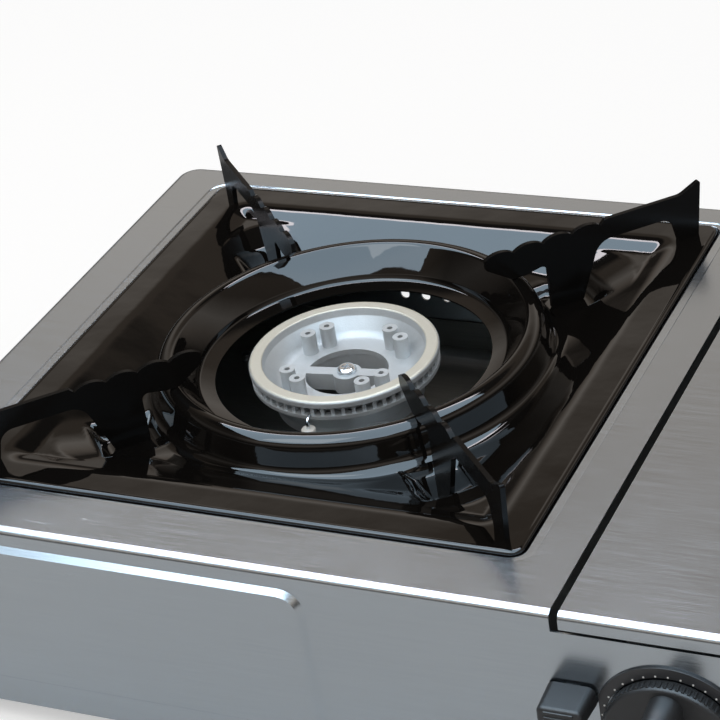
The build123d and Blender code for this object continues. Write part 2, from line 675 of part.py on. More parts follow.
# Burner head: rim with a ring of square ports, bowl with eight hollow bosses, eye and bar
with BuildPart() as burner_head:
    rim_middle = (RIM_INNER_RADIUS + BURNER_RADIUS) / 2
    with BuildSketch(upright_plane(BURNER_X, BURNER_Y, 0)):
        with BuildLine():
            FilletPolyline(
                (rim_middle, BURNER_TOP),
                (BURNER_RADIUS, BURNER_TOP),
                (BURNER_RADIUS, PORT_TOP),
                (PORT_RING_RADIUS, PORT_TOP),
                radius=[RIM_EDGE_ROUND, RIM_LIP_ROUND],
            )
            Polyline(
                (PORT_RING_RADIUS, PORT_TOP),
                (PORT_RING_RADIUS, PORT_BOTTOM),
                (PORT_RING_INNER, PORT_BOTTOM),
                (KNEE_RADIUS + HEAD_SEAM, HEAD_UNDER),
                (EYE_RADIUS, HEAD_UNDER),
                (EYE_RADIUS, BOWL_FLOOR),
            )
            FilletPolyline(
                (EYE_RADIUS, BOWL_FLOOR),
                (KNEE_RADIUS, BOWL_FLOOR),
                (RIM_INNER_RADIUS - BOWL_LIP_STEP, PORT_TOP),
                (RIM_INNER_RADIUS, BURNER_TOP),
                (rim_middle, BURNER_TOP),
                radius=[BOWL_KNEE_ROUND, RIM_EDGE_ROUND, RIM_LIP_ROUND],
            )
        make_face()
    revolve(axis=burner_axis)
    with BuildSketch(burner_plane(HEAD_UNDER)):
        Rectangle(2 * EYE_RADIUS + CASTING_WALL, BAR_WIDTH)
        Circle(HUB_RADIUS)
    extrude(amount=CASTING_WALL)
    with BuildSketch(burner_plane(HEAD_UNDER)):
        Circle(SCREW_RADIUS + SCREW_FIT)
    extrude(amount=CASTING_WALL, mode=Mode.SUBTRACT)
    boss_top = BURNER_TOP - BOSS_TOP_DROP
    boss_angles = [45 + 90 * k + s * BOSS_HALF_ANGLE for k in range(4) for s in (-1, 1)]
    with BuildSketch(burner_plane(BOWL_FLOOR - CASTING_WALL / 2)):
        for boss_angle in boss_angles:
            with PolarLocations(BOSS_CIRCLE, 1, start_angle=boss_angle):
                Circle(BOSS_RADIUS)
    extrude(amount=boss_top - BOWL_FLOOR + CASTING_WALL / 2)
    with BuildSketch(burner_plane(BOWL_FLOOR)):
        for boss_angle in boss_angles:
            with PolarLocations(BOSS_CIRCLE, 1, start_angle=boss_angle):
                Circle(BOSS_HOLE)
    extrude(amount=boss_top - BOWL_FLOOR, mode=Mode.SUBTRACT)
    with BuildSketch(burner_plane(PORT_BOTTOM)):
        with PolarLocations((PORT_RING_RADIUS + PORT_RING_INNER) / 2, PORT_COUNT):
            Rectangle(PORT_RING_RADIUS - PORT_RING_INNER + 2 * CASTING_WALL / 3, PORT_WIDTH)
    extrude(amount=PORT_HEIGHT, mode=Mode.SUBTRACT)
finish(burner_head, "burner_head")

mix_direction = (cos(radians(MIX_ANGLE)), sin(radians(MIX_ANGLE)), 0)
mix_axis = Axis((BURNER_X, BURNER_Y, MIX_Z), mix_direction)


def mix_plane(distance):
    """Upright plane across the mixing tube, at a distance from the burner's axis."""
    return Plane(
        origin=(BURNER_X + distance * mix_direction[0], BURNER_Y + distance * mix_direction[1], MIX_Z),
        x_dir=(-mix_direction[1], mix_direction[0], 0),
        z_dir=mix_direction,
    )


# Burner base: ring trough under the head, bridge for the screw, and the tube socket
with BuildPart() as burner_base:
    cup_mouth = PORT_RING_INNER + CUP_FIT
    cup_lip = BURNER_RADIUS - CUP_INSET
    core = EYE_RADIUS + CORE_FIT
    with BuildSketch(upright_plane(BURNER_X, BURNER_Y, 0)):
        with BuildLine():
            Polyline(
                (cup_mouth, PORT_BOTTOM),
                (cup_lip, PORT_BOTTOM),
                (cup_lip, PORT_BOTTOM - CUP_LIP_HEIGHT),
                (cup_lip - CUP_LIP_WIDTH, PORT_BOTTOM - CUP_LIP_HEIGHT - CUP_LIP_CHAMFER),
                (CUP_LOWER_RADIUS, CUP_BOTTOM + 2 * CASTING_WALL),
                (CUP_LOWER_RADIUS - CASTING_WALL / 2, CUP_BOTTOM),
                (core, CUP_BOTTOM),
                (core, HEAD_UNDER),
                (core + CASTING_WALL, HEAD_UNDER),
                (core + CASTING_WALL, CUP_BOTTOM + CASTING_WALL),
                (CUP_LOWER_RADIUS - CASTING_WALL, CUP_BOTTOM + CASTING_WALL),
                close=True,
            )
        make_face()
    revolve(axis=burner_axis)
    with BuildSketch(burner_plane(HEAD_UNDER - 2 * CASTING_WALL)):
        Rectangle(2 * core + CASTING_WALL, BAR_WIDTH)
        Circle(HUB_RADIUS)
    extrude(amount=2 * CASTING_WALL)
    with BuildSketch(mix_plane(SOCKET_START)):
        Circle(SOCKET_BORE + SOCKET_WALL)
    extrude(amount=SOCKET_END - SOCKET_START)
    with BuildSketch(mix_plane(SOCKET_START + SOCKET_WALL)):
        Circle(SOCKET_BORE)
    extrude(amount=SOCKET_END - SOCKET_START, mode=Mode.SUBTRACT)
    with BuildSketch(burner_plane(MIX_Z, MIX_ANGLE)):
        with Locations(((core + CASTING_WALL + CUP_LOWER_RADIUS - CASTING_WALL) / 2, 0)):
            Rectangle(CUP_LOWER_RADIUS - core - 3 * CASTING_WALL, SOCKET_BORE)
    extrude(amount=HEAD_UNDER - MIX_Z, mode=Mode.SUBTRACT)
    with BuildSketch(burner_plane(HEAD_UNDER - 2 * CASTING_WALL)):
        Circle(SCREW_RADIUS + SCREW_FIT)
    extrude(amount=2 * CASTING_WALL, mode=Mode.SUBTRACT)
finish(burner_base, "burner_base")

# Screw through the bar of the head into the bridge of the base
with BuildPart() as burner_screw:
    with BuildSketch(burner_plane(BOWL_FLOOR)):
        Circle(SCREW_HEAD_RADIUS)
    extrude(amount=SCREW_HEAD_HEIGHT)
    fillet(burner_screw.faces().sort_by(Axis.Z)[-1].edges(), SCREW_HEAD_ROUND)
    with BuildSketch(burner_plane(BOWL_FLOOR + SCREW_HEAD_HEIGHT / 2)):
        Rectangle(SCREW_HEAD_RADIUS, SCREW_HEAD_RADIUS / 4)
        Rectangle(SCREW_HEAD_RADIUS / 4, SCREW_HEAD_RADIUS)
    extrude(amount=SCREW_HEAD_HEIGHT, mode=Mode.SUBTRACT)
    with BuildSketch(burner_plane(HEAD_UNDER - 2 * CASTING_WALL)):
        Circle(SCREW_RADIUS)
    extrude(amount=3 * CASTING_WALL)
finish(burner_screw, "burner_screw")

# Mixing tube: straight pipe in the base's socket, with a flared mouth facing the jet
with BuildPart() as mixing_tube:
    tube_start = SOCKET_END - TUBE_INSERT
    tube_mouth = JET_DISTANCE - JET_SEAT - JET_LENGTH - TUBE_MOUTH_GAP
    with BuildSketch(upright_plane(BURNER_X, BURNER_Y, MIX_ANGLE)):
        with BuildLine():
            FilletPolyline(
                (tube_start, MIX_Z + MIX_BORE),
                (tube_mouth - 3 * TUBE_MOUTH_FLARE, MIX_Z + MIX_BORE),
                (tube_mouth, MIX_Z + MIX_BORE + TUBE_MOUTH_FLARE),
                radius=2 * TUBE_MOUTH_FLARE,
            )
            offset(amount=TUBE_WALL, side=Side.LEFT)
        make_face()
    revolve(axis=mix_axis)
finish(mixing_tube, "mixing_tube")

# Stand that carries the socket of the burner base over the floor
with BuildPart() as burner_stand:
    stand_distance = SOCKET_END - CASTING_WALL
    stand_hole = SOCKET_BORE + SOCKET_WALL + TUBE_FIT
    stand_width = 2 * (stand_hole + SOCKET_WALL)
    with BuildSketch(mix_plane(stand_distance - BRACKET_PLATE)):
        with Locations((0, (FLOOR_TOP - MIX_Z) / 2)):
            Rectangle(stand_width, MIX_Z - FLOOR_TOP)
        Circle(stand_width / 2)
        Circle(stand_hole, mode=Mode.SUBTRACT)
    extrude(amount=BRACKET_PLATE)
    with BuildSketch(burner_plane(FLOOR_TOP, MIX_ANGLE)):
        with Locations((stand_distance + PARTITION_FLANGE / 2, 0)):
            Rectangle(PARTITION_FLANGE, stand_width)
    extrude(amount=BRACKET_PLATE)
finish(burner_stand, "burner_stand")

# Igniter electrode beside the ports: ceramic sleeve, bent wire tip, and the clip under the base
electrode_distance = BURNER_RADIUS + ELECTRODE_REACH
ceramic_top = BURNER_TOP - CERAMIC_TOP_DROP
ceramic_bottom = ceramic_top - CERAMIC_LENGTH
electrode_x = BURNER_X + electrode_distance * cos(radians(ELECTRODE_ANGLE))
electrode_y = BURNER_Y + electrode_distance * sin(radians(ELECTRODE_ANGLE))
with BuildPart() as igniter_ceramic:
    with BuildSketch(Plane(origin=(electrode_x, electrode_y, ceramic_bottom))):
        Circle(CERAMIC_RADIUS)
    extrude(amount=CERAMIC_LENGTH)
    fillet(igniter_ceramic.faces().sort_by(Axis.Z)[-1].edges(), CERAMIC_RADIUS / 4)
    with BuildSketch(Plane(origin=(electrode_x, electrode_y, CUP_BOTTOM))):
        Circle(CERAMIC_COLLAR)
    extrude(amount=CLIP_SHEET * 2)
    with BuildSketch(Plane(origin=(electrode_x, electrode_y, ceramic_bottom))):
        Circle(TIP_RADIUS + SCREW_FIT)
    extrude(amount=CERAMIC_LENGTH, mode=Mode.SUBTRACT)
finish(igniter_ceramic, "igniter_ceramic")

with BuildPart() as igniter_tip:
    wire_top = ceramic_top + TIP_RISE
    with BuildLine():
        wire = FilletPolyline(
            (electrode_x, electrode_y, ceramic_bottom - 2 * CLIP_SHEET),
            (electrode_x, electrode_y, wire_top),
            (
                BURNER_X + (BURNER_RADIUS + TIP_GAP) * cos(radians(ELECTRODE_ANGLE)),
                BURNER_Y + (BURNER_RADIUS + TIP_GAP) * sin(radians(ELECTRODE_ANGLE)),
                wire_top,
            ),
            radius=2 * TIP_RADIUS,
        )
    with BuildSketch(Plane(origin=wire @ 0, z_dir=wire % 0)):
        Circle(TIP_RADIUS)
    sweep()
finish(igniter_tip, "igniter_tip")

with BuildPart() as igniter_clip:
    clip_start = CUP_LOWER_RADIUS - 2 * CASTING_WALL
    clip_end = electrode_distance + CERAMIC_RADIUS + 2 * CLIP_SHEET
    with BuildSketch(burner_plane(CUP_BOTTOM - CLIP_SHEET, ELECTRODE_ANGLE)):
        with Locations(((clip_start + clip_end) / 2, 0)):
            RectangleRounded(clip_end - clip_start, CLIP_WIDTH, CLIP_SHEET)
        with Locations((electrode_distance, 0)):
            Circle(CERAMIC_RADIUS + SCREW_FIT, mode=Mode.SUBTRACT)
    extrude(amount=CLIP_SHEET)
finish(igniter_clip, "igniter_clip")

# Plate behind the front wall that carries the regulator and the piezo igniter
piezo_x = CAN_X + REGULATOR_RADIUS + PIEZO_WIDTH / 2 + BRACKET_PLATE
with BuildPart() as valve_plate:
    plate_left = CAN_X - REGULATOR_RADIUS
    plate_right = RIGHT - CASE_CORNER
    with BuildSketch(front_plane(VALVE_Y)):
        with Locations(((plate_left + plate_right) / 2, CAN_HEIGHT)):
            RectangleRounded(plate_right - plate_left, 2 * (REGULATOR_RADIUS + BRACKET_PLATE), OVER)
        with Locations((CAN_X, CAN_HEIGHT)):
            Circle(STEM_RADIUS + BEZEL_GAP, mode=Mode.SUBTRACT)
    extrude(amount=BRACKET_PLATE)
finish(valve_plate, "valve_plate")

# Regulator: die-cast body with the stem bore in front, the arm boss and the cartridge socket
with BuildPart() as regulator_body:
    socket_end = REGULATOR_REAR + SOCKET_RING_LENGTH
    boss_end = CAN_X - REGULATOR_RADIUS - BRACKET_PLATE
    with BuildSketch(front_plane(REGULATOR_FRONT)):
        with Locations((CAN_X, CAN_HEIGHT)):
            Circle(REGULATOR_NECK_RADIUS)
    extrude(amount=REGULATOR_NECK)
    with BuildSketch(front_plane(REGULATOR_REAR)):
        with Locations((CAN_X, CAN_HEIGHT)):
            Circle(REGULATOR_RADIUS)
    extrude(amount=REGULATOR_LENGTH)
    with BuildSketch(front_plane(socket_end)):
        with Locations((CAN_X, CAN_HEIGHT)):
            Circle(SOCKET_RING_RADIUS)
    extrude(amount=SOCKET_RING_LENGTH)
    with BuildSketch(side_plane(boss_end)):
        with Locations((ARM_Y, MIX_Z)):
            Circle(ARM_RADIUS + BRACKET_PLATE)
    extrude(amount=CAN_X - boss_end)
    with BuildSketch(front_plane(REGULATOR_FRONT + REGULATOR_LENGTH / 2)):
        with Locations((CAN_X, CAN_HEIGHT)):
            Circle(STEM_RADIUS + STEM_FIT)
    extrude(amount=REGULATOR_LENGTH, mode=Mode.SUBTRACT)
    with BuildSketch(front_plane(socket_end)):
        with Locations((CAN_X, CAN_HEIGHT)):
            Circle(SEAL_RADIUS + SCREW_FIT)
    extrude(amount=SOCKET_RING_LENGTH, mode=Mode.SUBTRACT)
    with BuildSketch(front_plane(REGULATOR_REAR)):
        with Locations((CAN_X, CAN_HEIGHT)):
            Circle(NOZZLE_RADIUS + SCREW_FIT)
    extrude(amount=NOZZLE_LENGTH / 2, mode=Mode.SUBTRACT)
finish(regulator_body, "regulator_body")

with BuildPart() as can_nozzle:
    with BuildSketch(front_plane(REGULATOR_REAR + NOZZLE_LENGTH / 2)):
        with Locations((CAN_X, CAN_HEIGHT)):
            Circle(NOZZLE_RADIUS)
            Circle(NOZZLE_BORE, mode=Mode.SUBTRACT)
    extrude(amount=NOZZLE_LENGTH)
finish(can_nozzle, "can_nozzle")

with BuildPart() as nozzle_seal:
    with BuildSketch(front_plane(REGULATOR_REAR + SOCKET_RING_LENGTH / 2)):
        with Locations((CAN_X, CAN_HEIGHT)):
            Circle(SEAL_RADIUS)
            Circle(NOZZLE_RADIUS + SCREW_FIT, mode=Mode.SUBTRACT)
    extrude(amount=SOCKET_RING_LENGTH / 2)
finish(nozzle_seal, "nozzle_seal")

# Gas arm from the regulator through the partition to the jet seat
jet_direction = (-mix_direction[0], -mix_direction[1], 0)


def jet_plane(distance):
    """Upright plane across the jet, at a distance from the arm's end towards the burner."""
    return Plane(
        origin=(ARM_END_X + distance * jet_direction[0], ARM_Y + distance * jet_direction[1], MIX_Z),
        x_dir=(-jet_direction[1], jet_direction[0], 0),
        z_dir=jet_direction,
    )


with BuildPart() as gas_arm:
    with BuildSketch(side_plane(ARM_END_X)):
        with Locations((ARM_Y, MIX_Z)):
            Circle(ARM_RADIUS)
    extrude(amount=boss_end - ARM_END_X)
    with BuildSketch(Plane(origin=(ARM_END_X, ARM_Y, MIX_Z - ARM_RADIUS))):
        Circle(ARM_RADIUS)
    extrude(amount=2 * ARM_RADIUS)
    with BuildSketch(jet_plane(0)):
        Circle(JET_RADIUS + TUBE_WALL)
    extrude(amount=JET_SEAT)
finish(gas_arm, "gas_arm")

with BuildPart() as gas_jet:
    with BuildSketch(jet_plane(JET_SEAT)):
        RegularPolygon(JET_RADIUS, 6)
    extrude(amount=JET_LENGTH / 2)
    with BuildSketch(jet_plane(JET_SEAT + JET_LENGTH / 2)):
        Circle(JET_TIP_RADIUS)
    extrude(amount=JET_LENGTH / 2)
    with BuildSketch(jet_plane(JET_SEAT)):
        Circle(JET_BORE)
    extrude(amount=JET_LENGTH, mode=Mode.SUBTRACT)
finish(gas_jet, "gas_jet")

with BuildPart() as piezo_igniter:
    with BuildSketch(front_plane(VALVE_Y + PIEZO_LENGTH)):
        with Locations((piezo_x, CAN_HEIGHT)):
            RectangleRounded(PIEZO_WIDTH, PIEZO_HEIGHT, BRACKET_PLATE)
    extrude(amount=PIEZO_LENGTH)
finish(piezo_igniter, "piezo_igniter")

# Ring on the front face round the knob
with BuildPart() as knob_bezel:
    with BuildSketch(front_plane(FRONT)):
        with Locations((CAN_X, CAN_HEIGHT)):
            Circle(KNOB_RADIUS + BEZEL_GAP + BEZEL_WIDTH)
            Circle(KNOB_RADIUS + BEZEL_GAP, mode=Mode.SUBTRACT)
    extrude(amount=BEZEL_SHEET)
finish(knob_bezel, "knob_bezel")

# Knob: round skirt with a raised grip, on the valve stem
with BuildPart() as control_knob:
    with BuildSketch(front_plane(FRONT - KNOB_GAP)):
        with Locations((CAN_X, CAN_HEIGHT)):
            Circle(KNOB_RADIUS)
    extrude(amount=KNOB_SKIRT)
    fillet(control_knob.faces().sort_by(Axis.Y)[0].edges(), KNOB_EDGE_ROUND)
    with BuildSketch(front_plane(FRONT - KNOB_GAP - KNOB_GRIP_START)):
        with Locations((CAN_X, CAN_HEIGHT)):
            SlotOverall(2 * KNOB_RADIUS - KNOB_GRIP_INSET, KNOB_GRIP_WIDTH, rotation=90)
    extrude(amount=KNOB_REACH - KNOB_GAP - KNOB_GRIP_START, taper=KNOB_GRIP_TAPER)
    fillet(control_knob.faces().sort_by(Axis.Y)[0].edges(), KNOB_EDGE_ROUND)
    with BuildSketch(front_plane(FRONT - KNOB_GAP)):
        with Locations((CAN_X, CAN_HEIGHT)):
            Circle(STEM_RADIUS + SCREW_FIT)
    extrude(amount=KNOB_REACH / 2, mode=Mode.SUBTRACT)
finish(control_knob, "control_knob")

with BuildPart() as valve_stem:
    stem_front = FRONT - KNOB_GAP - KNOB_REACH / 2
    stem_rear = REGULATOR_FRONT + REGULATOR_LENGTH / 2 - STEM_FIT
    with BuildSketch(front_plane(stem_rear)):
        with Locations((CAN_X, CAN_HEIGHT)):
            Circle(STEM_RADIUS)
    extrude(amount=stem_rear - stem_front)
finish(valve_stem, "valve_stem")

# Cartridge lid: the rest of the outer shell, with two hinge ears under its inner edge
HINGE_ENDS = ((FRONT + HINGE_FROM_END, 1), (REAR - HINGE_FROM_END, -1))


def hinge_slab(near, inward, start, thickness):
    """Upright plane for a hinge plate that starts at a distance inward of its bracket."""
    return front_plane(max(near + inward * start, near + inward * (start + thickness)))


with BuildPart() as cartridge_lid:
    add(shell.part)
    with BuildSketch(front_plane(REAR + OVER)):
        with BuildLine():
            lid_region(LID_EDGE, 0)
        make_face()
    extrude(amount=CASE_DEPTH + 2 * OVER, mode=Mode.INTERSECT)
    for near, inward in HINGE_ENDS:
        with BuildSketch(hinge_slab(near, inward, HINGE_PLATE + HINGE_SIDE_GAP, HINGE_PLATE)):
            with Locations((HINGE_X, HINGE_Z)):
                Circle(HINGE_EYE_RADIUS)
            with Locations((HINGE_X + HINGE_EYE_RADIUS / 2, (HINGE_Z + DECK_UNDER) / 2)):
                Rectangle(HINGE_EYE_RADIUS, DECK_UNDER - HINGE_Z)
            with Locations((HINGE_X, HINGE_Z)):
                Circle(HINGE_PIN_RADIUS + HINGE_FIT, mode=Mode.SUBTRACT)
        extrude(amount=HINGE_PLATE)
finish(cartridge_lid, "cartridge_lid")

with BuildPart() as hinge_brackets:
    for near, inward in HINGE_ENDS:
        with BuildSketch(hinge_slab(near, inward, 0, HINGE_PLATE)):
            with Locations((HINGE_X, HINGE_Z)):
                Circle(HINGE_EYE_RADIUS)
            with Locations((HINGE_X, HINGE_Z - HINGE_NECK / 2)):
                Rectangle(HINGE_NECK_WIDTH, HINGE_NECK)
            foot_end = HINGE_X + HINGE_NECK_WIDTH / 2
            with Locations(((BAY_X + foot_end) / 2, HINGE_Z - HINGE_NECK)):
                Rectangle(foot_end - BAY_X, HINGE_NECK / 2)
            with Locations((HINGE_X, HINGE_Z)):
                Circle(HINGE_PIN_RADIUS + HINGE_FIT / 2, mode=Mode.SUBTRACT)
        extrude(amount=HINGE_PLATE)
finish(hinge_brackets, "hinge_brackets")

with BuildPart() as hinge_pins:
    pin_length = 2 * HINGE_PLATE + 2 * HINGE_SIDE_GAP
    for near, inward in HINGE_ENDS:
        with BuildSketch(hinge_slab(near, inward, 0, pin_length)):
            with Locations((HINGE_X, HINGE_Z)):
                Circle(HINGE_PIN_RADIUS)
        extrude(amount=pin_length)
finish(hinge_pins, "hinge_pins")

# Cradle in the bay: a bent strip along the cartridge's underside, on two legs
with BuildPart() as can_cradle:
    cradle_front = FRONT + CRADLE_FROM_FRONT
    cradle_rear = REAR - CRADLE_FROM_REAR
    cradle_radius = CAN_RADIUS + CRADLE_FIT
    half = radians(CRADLE_HALF_ANGLE)
    leg_x = (cradle_radius + SHEET) * sin(half)
    leg_top = CAN_HEIGHT - cradle_radius * cos(half)
    with BuildSketch(front_plane(cradle_rear)):
        with Locations((CAN_X, CAN_HEIGHT)):
            Circle(cradle_radius + SHEET)
            Circle(cradle_radius, mode=Mode.SUBTRACT)
        with Locations((CAN_X, leg_top / 2)):
            Rectangle(2 * leg_x, leg_top, mode=Mode.INTERSECT)
        for side in (-1, 1):
            with Locations((CAN_X + side * (leg_x - SHEET / 2), (leg_top + FLOOR_TOP) / 2)):
                Rectangle(SHEET, leg_top - FLOOR_TOP)
            with Locations((CAN_X + side * (leg_x + PARTITION_FLANGE / 2), FLOOR_TOP + SHEET / 2)):
                Rectangle(PARTITION_FLANGE, SHEET)
    extrude(amount=cradle_rear - cradle_front)
finish(can_cradle, "can_cradle")

# Lock lever: handle in front, plate behind the wall with the sloped cam slot on its side flange
lever_low = LEVER_TOP - LEVER_NECK_HEIGHT
plate_front = FRONT_INSIDE + LEVER_FIT
plate_rear = plate_front + LEVER_SHEET
flange_x = LEVER_X - LEVER_PLATE_WIDTH / 2
pin_y = FRONT + PUSHER_PIN_FROM_FRONT
pin_z = CAM_BOTTOM + CAM_MARGIN
with BuildPart() as lever_handle:
    with BuildSketch(front_plane(FRONT - KNOB_GAP)):
        with Locations((LEVER_X, LEVER_TOP - LEVER_NECK_HEIGHT / 2)):
            RectangleRounded(LEVER_HANDLE_WIDTH, LEVER_HANDLE_HEIGHT, LEVER_HANDLE_HEIGHT / 3)
    extrude(amount=LEVER_HANDLE_REACH - KNOB_GAP, taper=LEVER_HANDLE_TAPER)
    fillet(lever_handle.faces().sort_by(Axis.Y)[0].edges(), LEVER_SHEET)
    with BuildSketch(front_plane(plate_front)):
        with Locations((LEVER_X, LEVER_TOP - LEVER_NECK_HEIGHT / 2)):
            Rectangle(LEVER_NECK_WIDTH, LEVER_NECK_HEIGHT)
    extrude(amount=plate_front - FRONT + KNOB_GAP)
finish(lever_handle, "lever_handle")

with BuildPart() as lever_plate:
    plate_bottom = lever_low - LEVER_PLATE_FALL
    plate_top = LEVER_TOP + LEVER_PLATE_RISE
    with BuildSketch(front_plane(plate_rear)):
        with Locations((LEVER_X, (plate_bottom + plate_top) / 2)):
            Rectangle(LEVER_PLATE_WIDTH, plate_top - plate_bottom)
    extrude(amount=LEVER_SHEET)
    with BuildSketch(side_plane(flange_x)):
        with Locations((plate_front + CAM_LENGTH / 2, CAM_BOTTOM + CAM_HEIGHT / 2)):
            Rectangle(CAM_LENGTH, CAM_HEIGHT)
        toe_depth = FRONT + TRAY_INSIDE + LEVER_FIT - plate_front
        with Locations((plate_front + toe_depth / 2, (CAM_BOTTOM + plate_bottom) / 2)):
            Rectangle(toe_depth, plate_bottom - CAM_BOTTOM, mode=Mode.SUBTRACT)
        slot_middle = (pin_y - PUSHER_TRAVEL / 2, pin_z + LEVER_TRAVEL / 2)
        slot_slope = degrees(atan2(LEVER_TRAVEL, -PUSHER_TRAVEL))
        with Locations(slot_middle):
            SlotCenterToCenter(
                hypot(LEVER_TRAVEL, PUSHER_TRAVEL),
                2 * (PUSHER_PIN_RADIUS + LEVER_FIT),
                rotation=slot_slope,
                mode=Mode.SUBTRACT,
            )
    extrude(amount=LEVER_SHEET)
finish(lever_plate, "lever_plate")

with BuildPart() as lever_guide:
    guide_left = flange_x + 2 * LEVER_SHEET
    guide_right = LEVER_X + LEVER_PLATE_WIDTH / 2 + LEVER_FIT + LEVER_SHEET
    guide_back = plate_rear + LEVER_FIT
    with BuildSketch(Plane.XY.offset(GUIDE_BOTTOM)):
        with Locations(((guide_left + guide_right) / 2, guide_back + LEVER_SHEET / 2)):
            Rectangle(guide_right - guide_left, LEVER_SHEET)
        with Locations((guide_right - LEVER_SHEET / 2, (FRONT_INSIDE + guide_back) / 2)):
            Rectangle(LEVER_SHEET, guide_back - FRONT_INSIDE)
    extrude(amount=GUIDE_HEIGHT)
finish(lever_guide, "lever_guide")

# Pusher: slide on the partition with the cam pin, and a fork that pulls the cartridge's collar
pusher_x = BAY_X + PUSHER_FIT
pusher_low = pin_z - PUSHER_HEIGHT / 2
pusher_front = pin_y - CAM_MARGIN
pusher_rear = pusher_front + PUSHER_LENGTH
with BuildPart() as can_pusher:
    with BuildSketch(side_plane(pusher_x)):
        with Locations(((pusher_front + pusher_rear) / 2, pin_z)):
            Rectangle(PUSHER_LENGTH, PUSHER_HEIGHT)
        with Locations((pin_y, pin_z)):
            Circle(PUSHER_PIN_RADIUS, mode=Mode.SUBTRACT)
    extrude(amount=PUSHER_SHEET)
    fork_right = CAN_X + FORK_HALF_GAP + FORK_PRONG
    with BuildSketch(front_plane(pusher_rear)):
        with Locations(((pusher_x + fork_right) / 2, pusher_low + FORK_PRONG / 2)):
            Rectangle(fork_right - pusher_x, FORK_PRONG)
        for side in (-1, 1):
            prong_x = CAN_X + side * (FORK_HALF_GAP + FORK_PRONG / 2)
            with Locations((prong_x, pusher_low + FORK_HEIGHT / 2)):
                RectangleRounded(FORK_PRONG, FORK_HEIGHT, FORK_PRONG / 3)
    extrude(amount=FORK_WALL)
finish(can_pusher, "can_pusher")

with BuildPart() as pusher_pin:
    with BuildSketch(side_plane(pusher_x)):
        with Locations((pin_y, pin_z)):
            Circle(PUSHER_PIN_RADIUS - SCREW_FIT)
    extrude(amount=flange_x + 2 * LEVER_SHEET - pusher_x)
finish(pusher_pin, "pusher_pin")

with BuildPart() as pusher_keepers:
    keeper_out = pusher_x + PUSHER_SHEET + PUSHER_FIT
    keeper_half = PUSHER_HEIGHT / 2 + PUSHER_FIT
    for i in range(2):
        keeper_rear = pin_y + KEEPER_FROM_PIN + i * KEEPER_PITCH + KEEPER_LENGTH / 2
        with BuildSketch(front_plane(keeper_rear)):
            with Locations((keeper_out + PUSHER_SHEET / 2, pin_z)):
                Rectangle(PUSHER_SHEET, 2 * (keeper_half + PUSHER_SHEET))
            for side in (-1, 1):
                with Locations(((BAY_X + keeper_out) / 2, pin_z + side * (keeper_half + PUSHER_SHEET / 2))):
                    Rectangle(keeper_out - BAY_X, PUSHER_SHEET)
        extrude(amount=KEEPER_LENGTH)
finish(pusher_keepers, "pusher_keepers")
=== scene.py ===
# %% [markdown]
# # A portable gas stove
# The stove is a folded sheet-steel box with a glossy black drip pan let into its top.
# A cast ring burner stands in the middle of the pan, four scalloped plates carry the pot,
# and a hinged lid on the right covers the gas cartridge. All sizes come from a fixed model
# made earlier, so this lesson only adds looks: rounded edges, finishes, light and a camera.

# %% Load the fixed model
import json
import math

import bmesh
import bpy
from mathutils import Matrix, Vector


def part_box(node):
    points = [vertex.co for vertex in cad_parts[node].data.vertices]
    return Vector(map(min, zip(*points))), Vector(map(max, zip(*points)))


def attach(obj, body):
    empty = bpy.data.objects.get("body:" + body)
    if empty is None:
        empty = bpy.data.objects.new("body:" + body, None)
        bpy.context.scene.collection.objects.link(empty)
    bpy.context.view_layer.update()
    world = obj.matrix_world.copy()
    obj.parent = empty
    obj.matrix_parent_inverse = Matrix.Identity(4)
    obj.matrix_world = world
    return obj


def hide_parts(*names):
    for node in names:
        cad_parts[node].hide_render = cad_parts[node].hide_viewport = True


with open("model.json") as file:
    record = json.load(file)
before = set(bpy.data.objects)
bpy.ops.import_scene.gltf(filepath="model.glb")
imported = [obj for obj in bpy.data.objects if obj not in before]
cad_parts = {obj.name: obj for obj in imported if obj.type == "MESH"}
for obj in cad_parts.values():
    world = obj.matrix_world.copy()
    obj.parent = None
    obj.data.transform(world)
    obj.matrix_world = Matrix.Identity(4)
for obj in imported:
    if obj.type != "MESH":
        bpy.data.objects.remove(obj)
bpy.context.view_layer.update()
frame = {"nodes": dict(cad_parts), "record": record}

MM = 0.001

# %% [markdown]
# ## The camera
# The photograph was taken from the front and a little to the right, looking down, with the
# camera tilted. A long lens keeps the sides of the pan nearly parallel. Placing the camera by
# an azimuth, an elevation and a roll about its own axis keeps these three readable.

# %% Camera at the photograph's viewpoint
CAMERA_AZIMUTH = 28.94
CAMERA_ELEVATION = 30.92
CAMERA_ROLL = -9.52
CAMERA_DISTANCE = 954.4 * MM
CAMERA_LENS = 125.4
AIM_RIGHT_OF_PAN = 7.74 * MM
AIM_FRONT_OF_PAN = 8.58 * MM

pan_low, pan_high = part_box("drip_pan")
PAN_X = (pan_low.x + pan_high.x) / 2
PAN_Y = (pan_low.y + pan_high.y) / 2
DECK_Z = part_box("top_case")[1].z


def look_from(azimuth, elevation, roll, distance, target):
    """Matrix of a camera that looks at target, turned about its own line of sight by roll."""
    a, e, r = math.radians(azimuth), math.radians(elevation), math.radians(roll)
    back = Vector((math.sin(a) * math.cos(e), -math.cos(a) * math.cos(e), math.sin(e)))
    level = Vector((0, 0, 1)).cross(back).normalized()
    upward = back.cross(level)
    right = level * math.cos(r) + upward * math.sin(r)
    up = upward * math.cos(r) - level * math.sin(r)
    turn = Matrix((right, up, back)).transposed().to_4x4()
    return Matrix.Translation(target + back * distance) @ turn


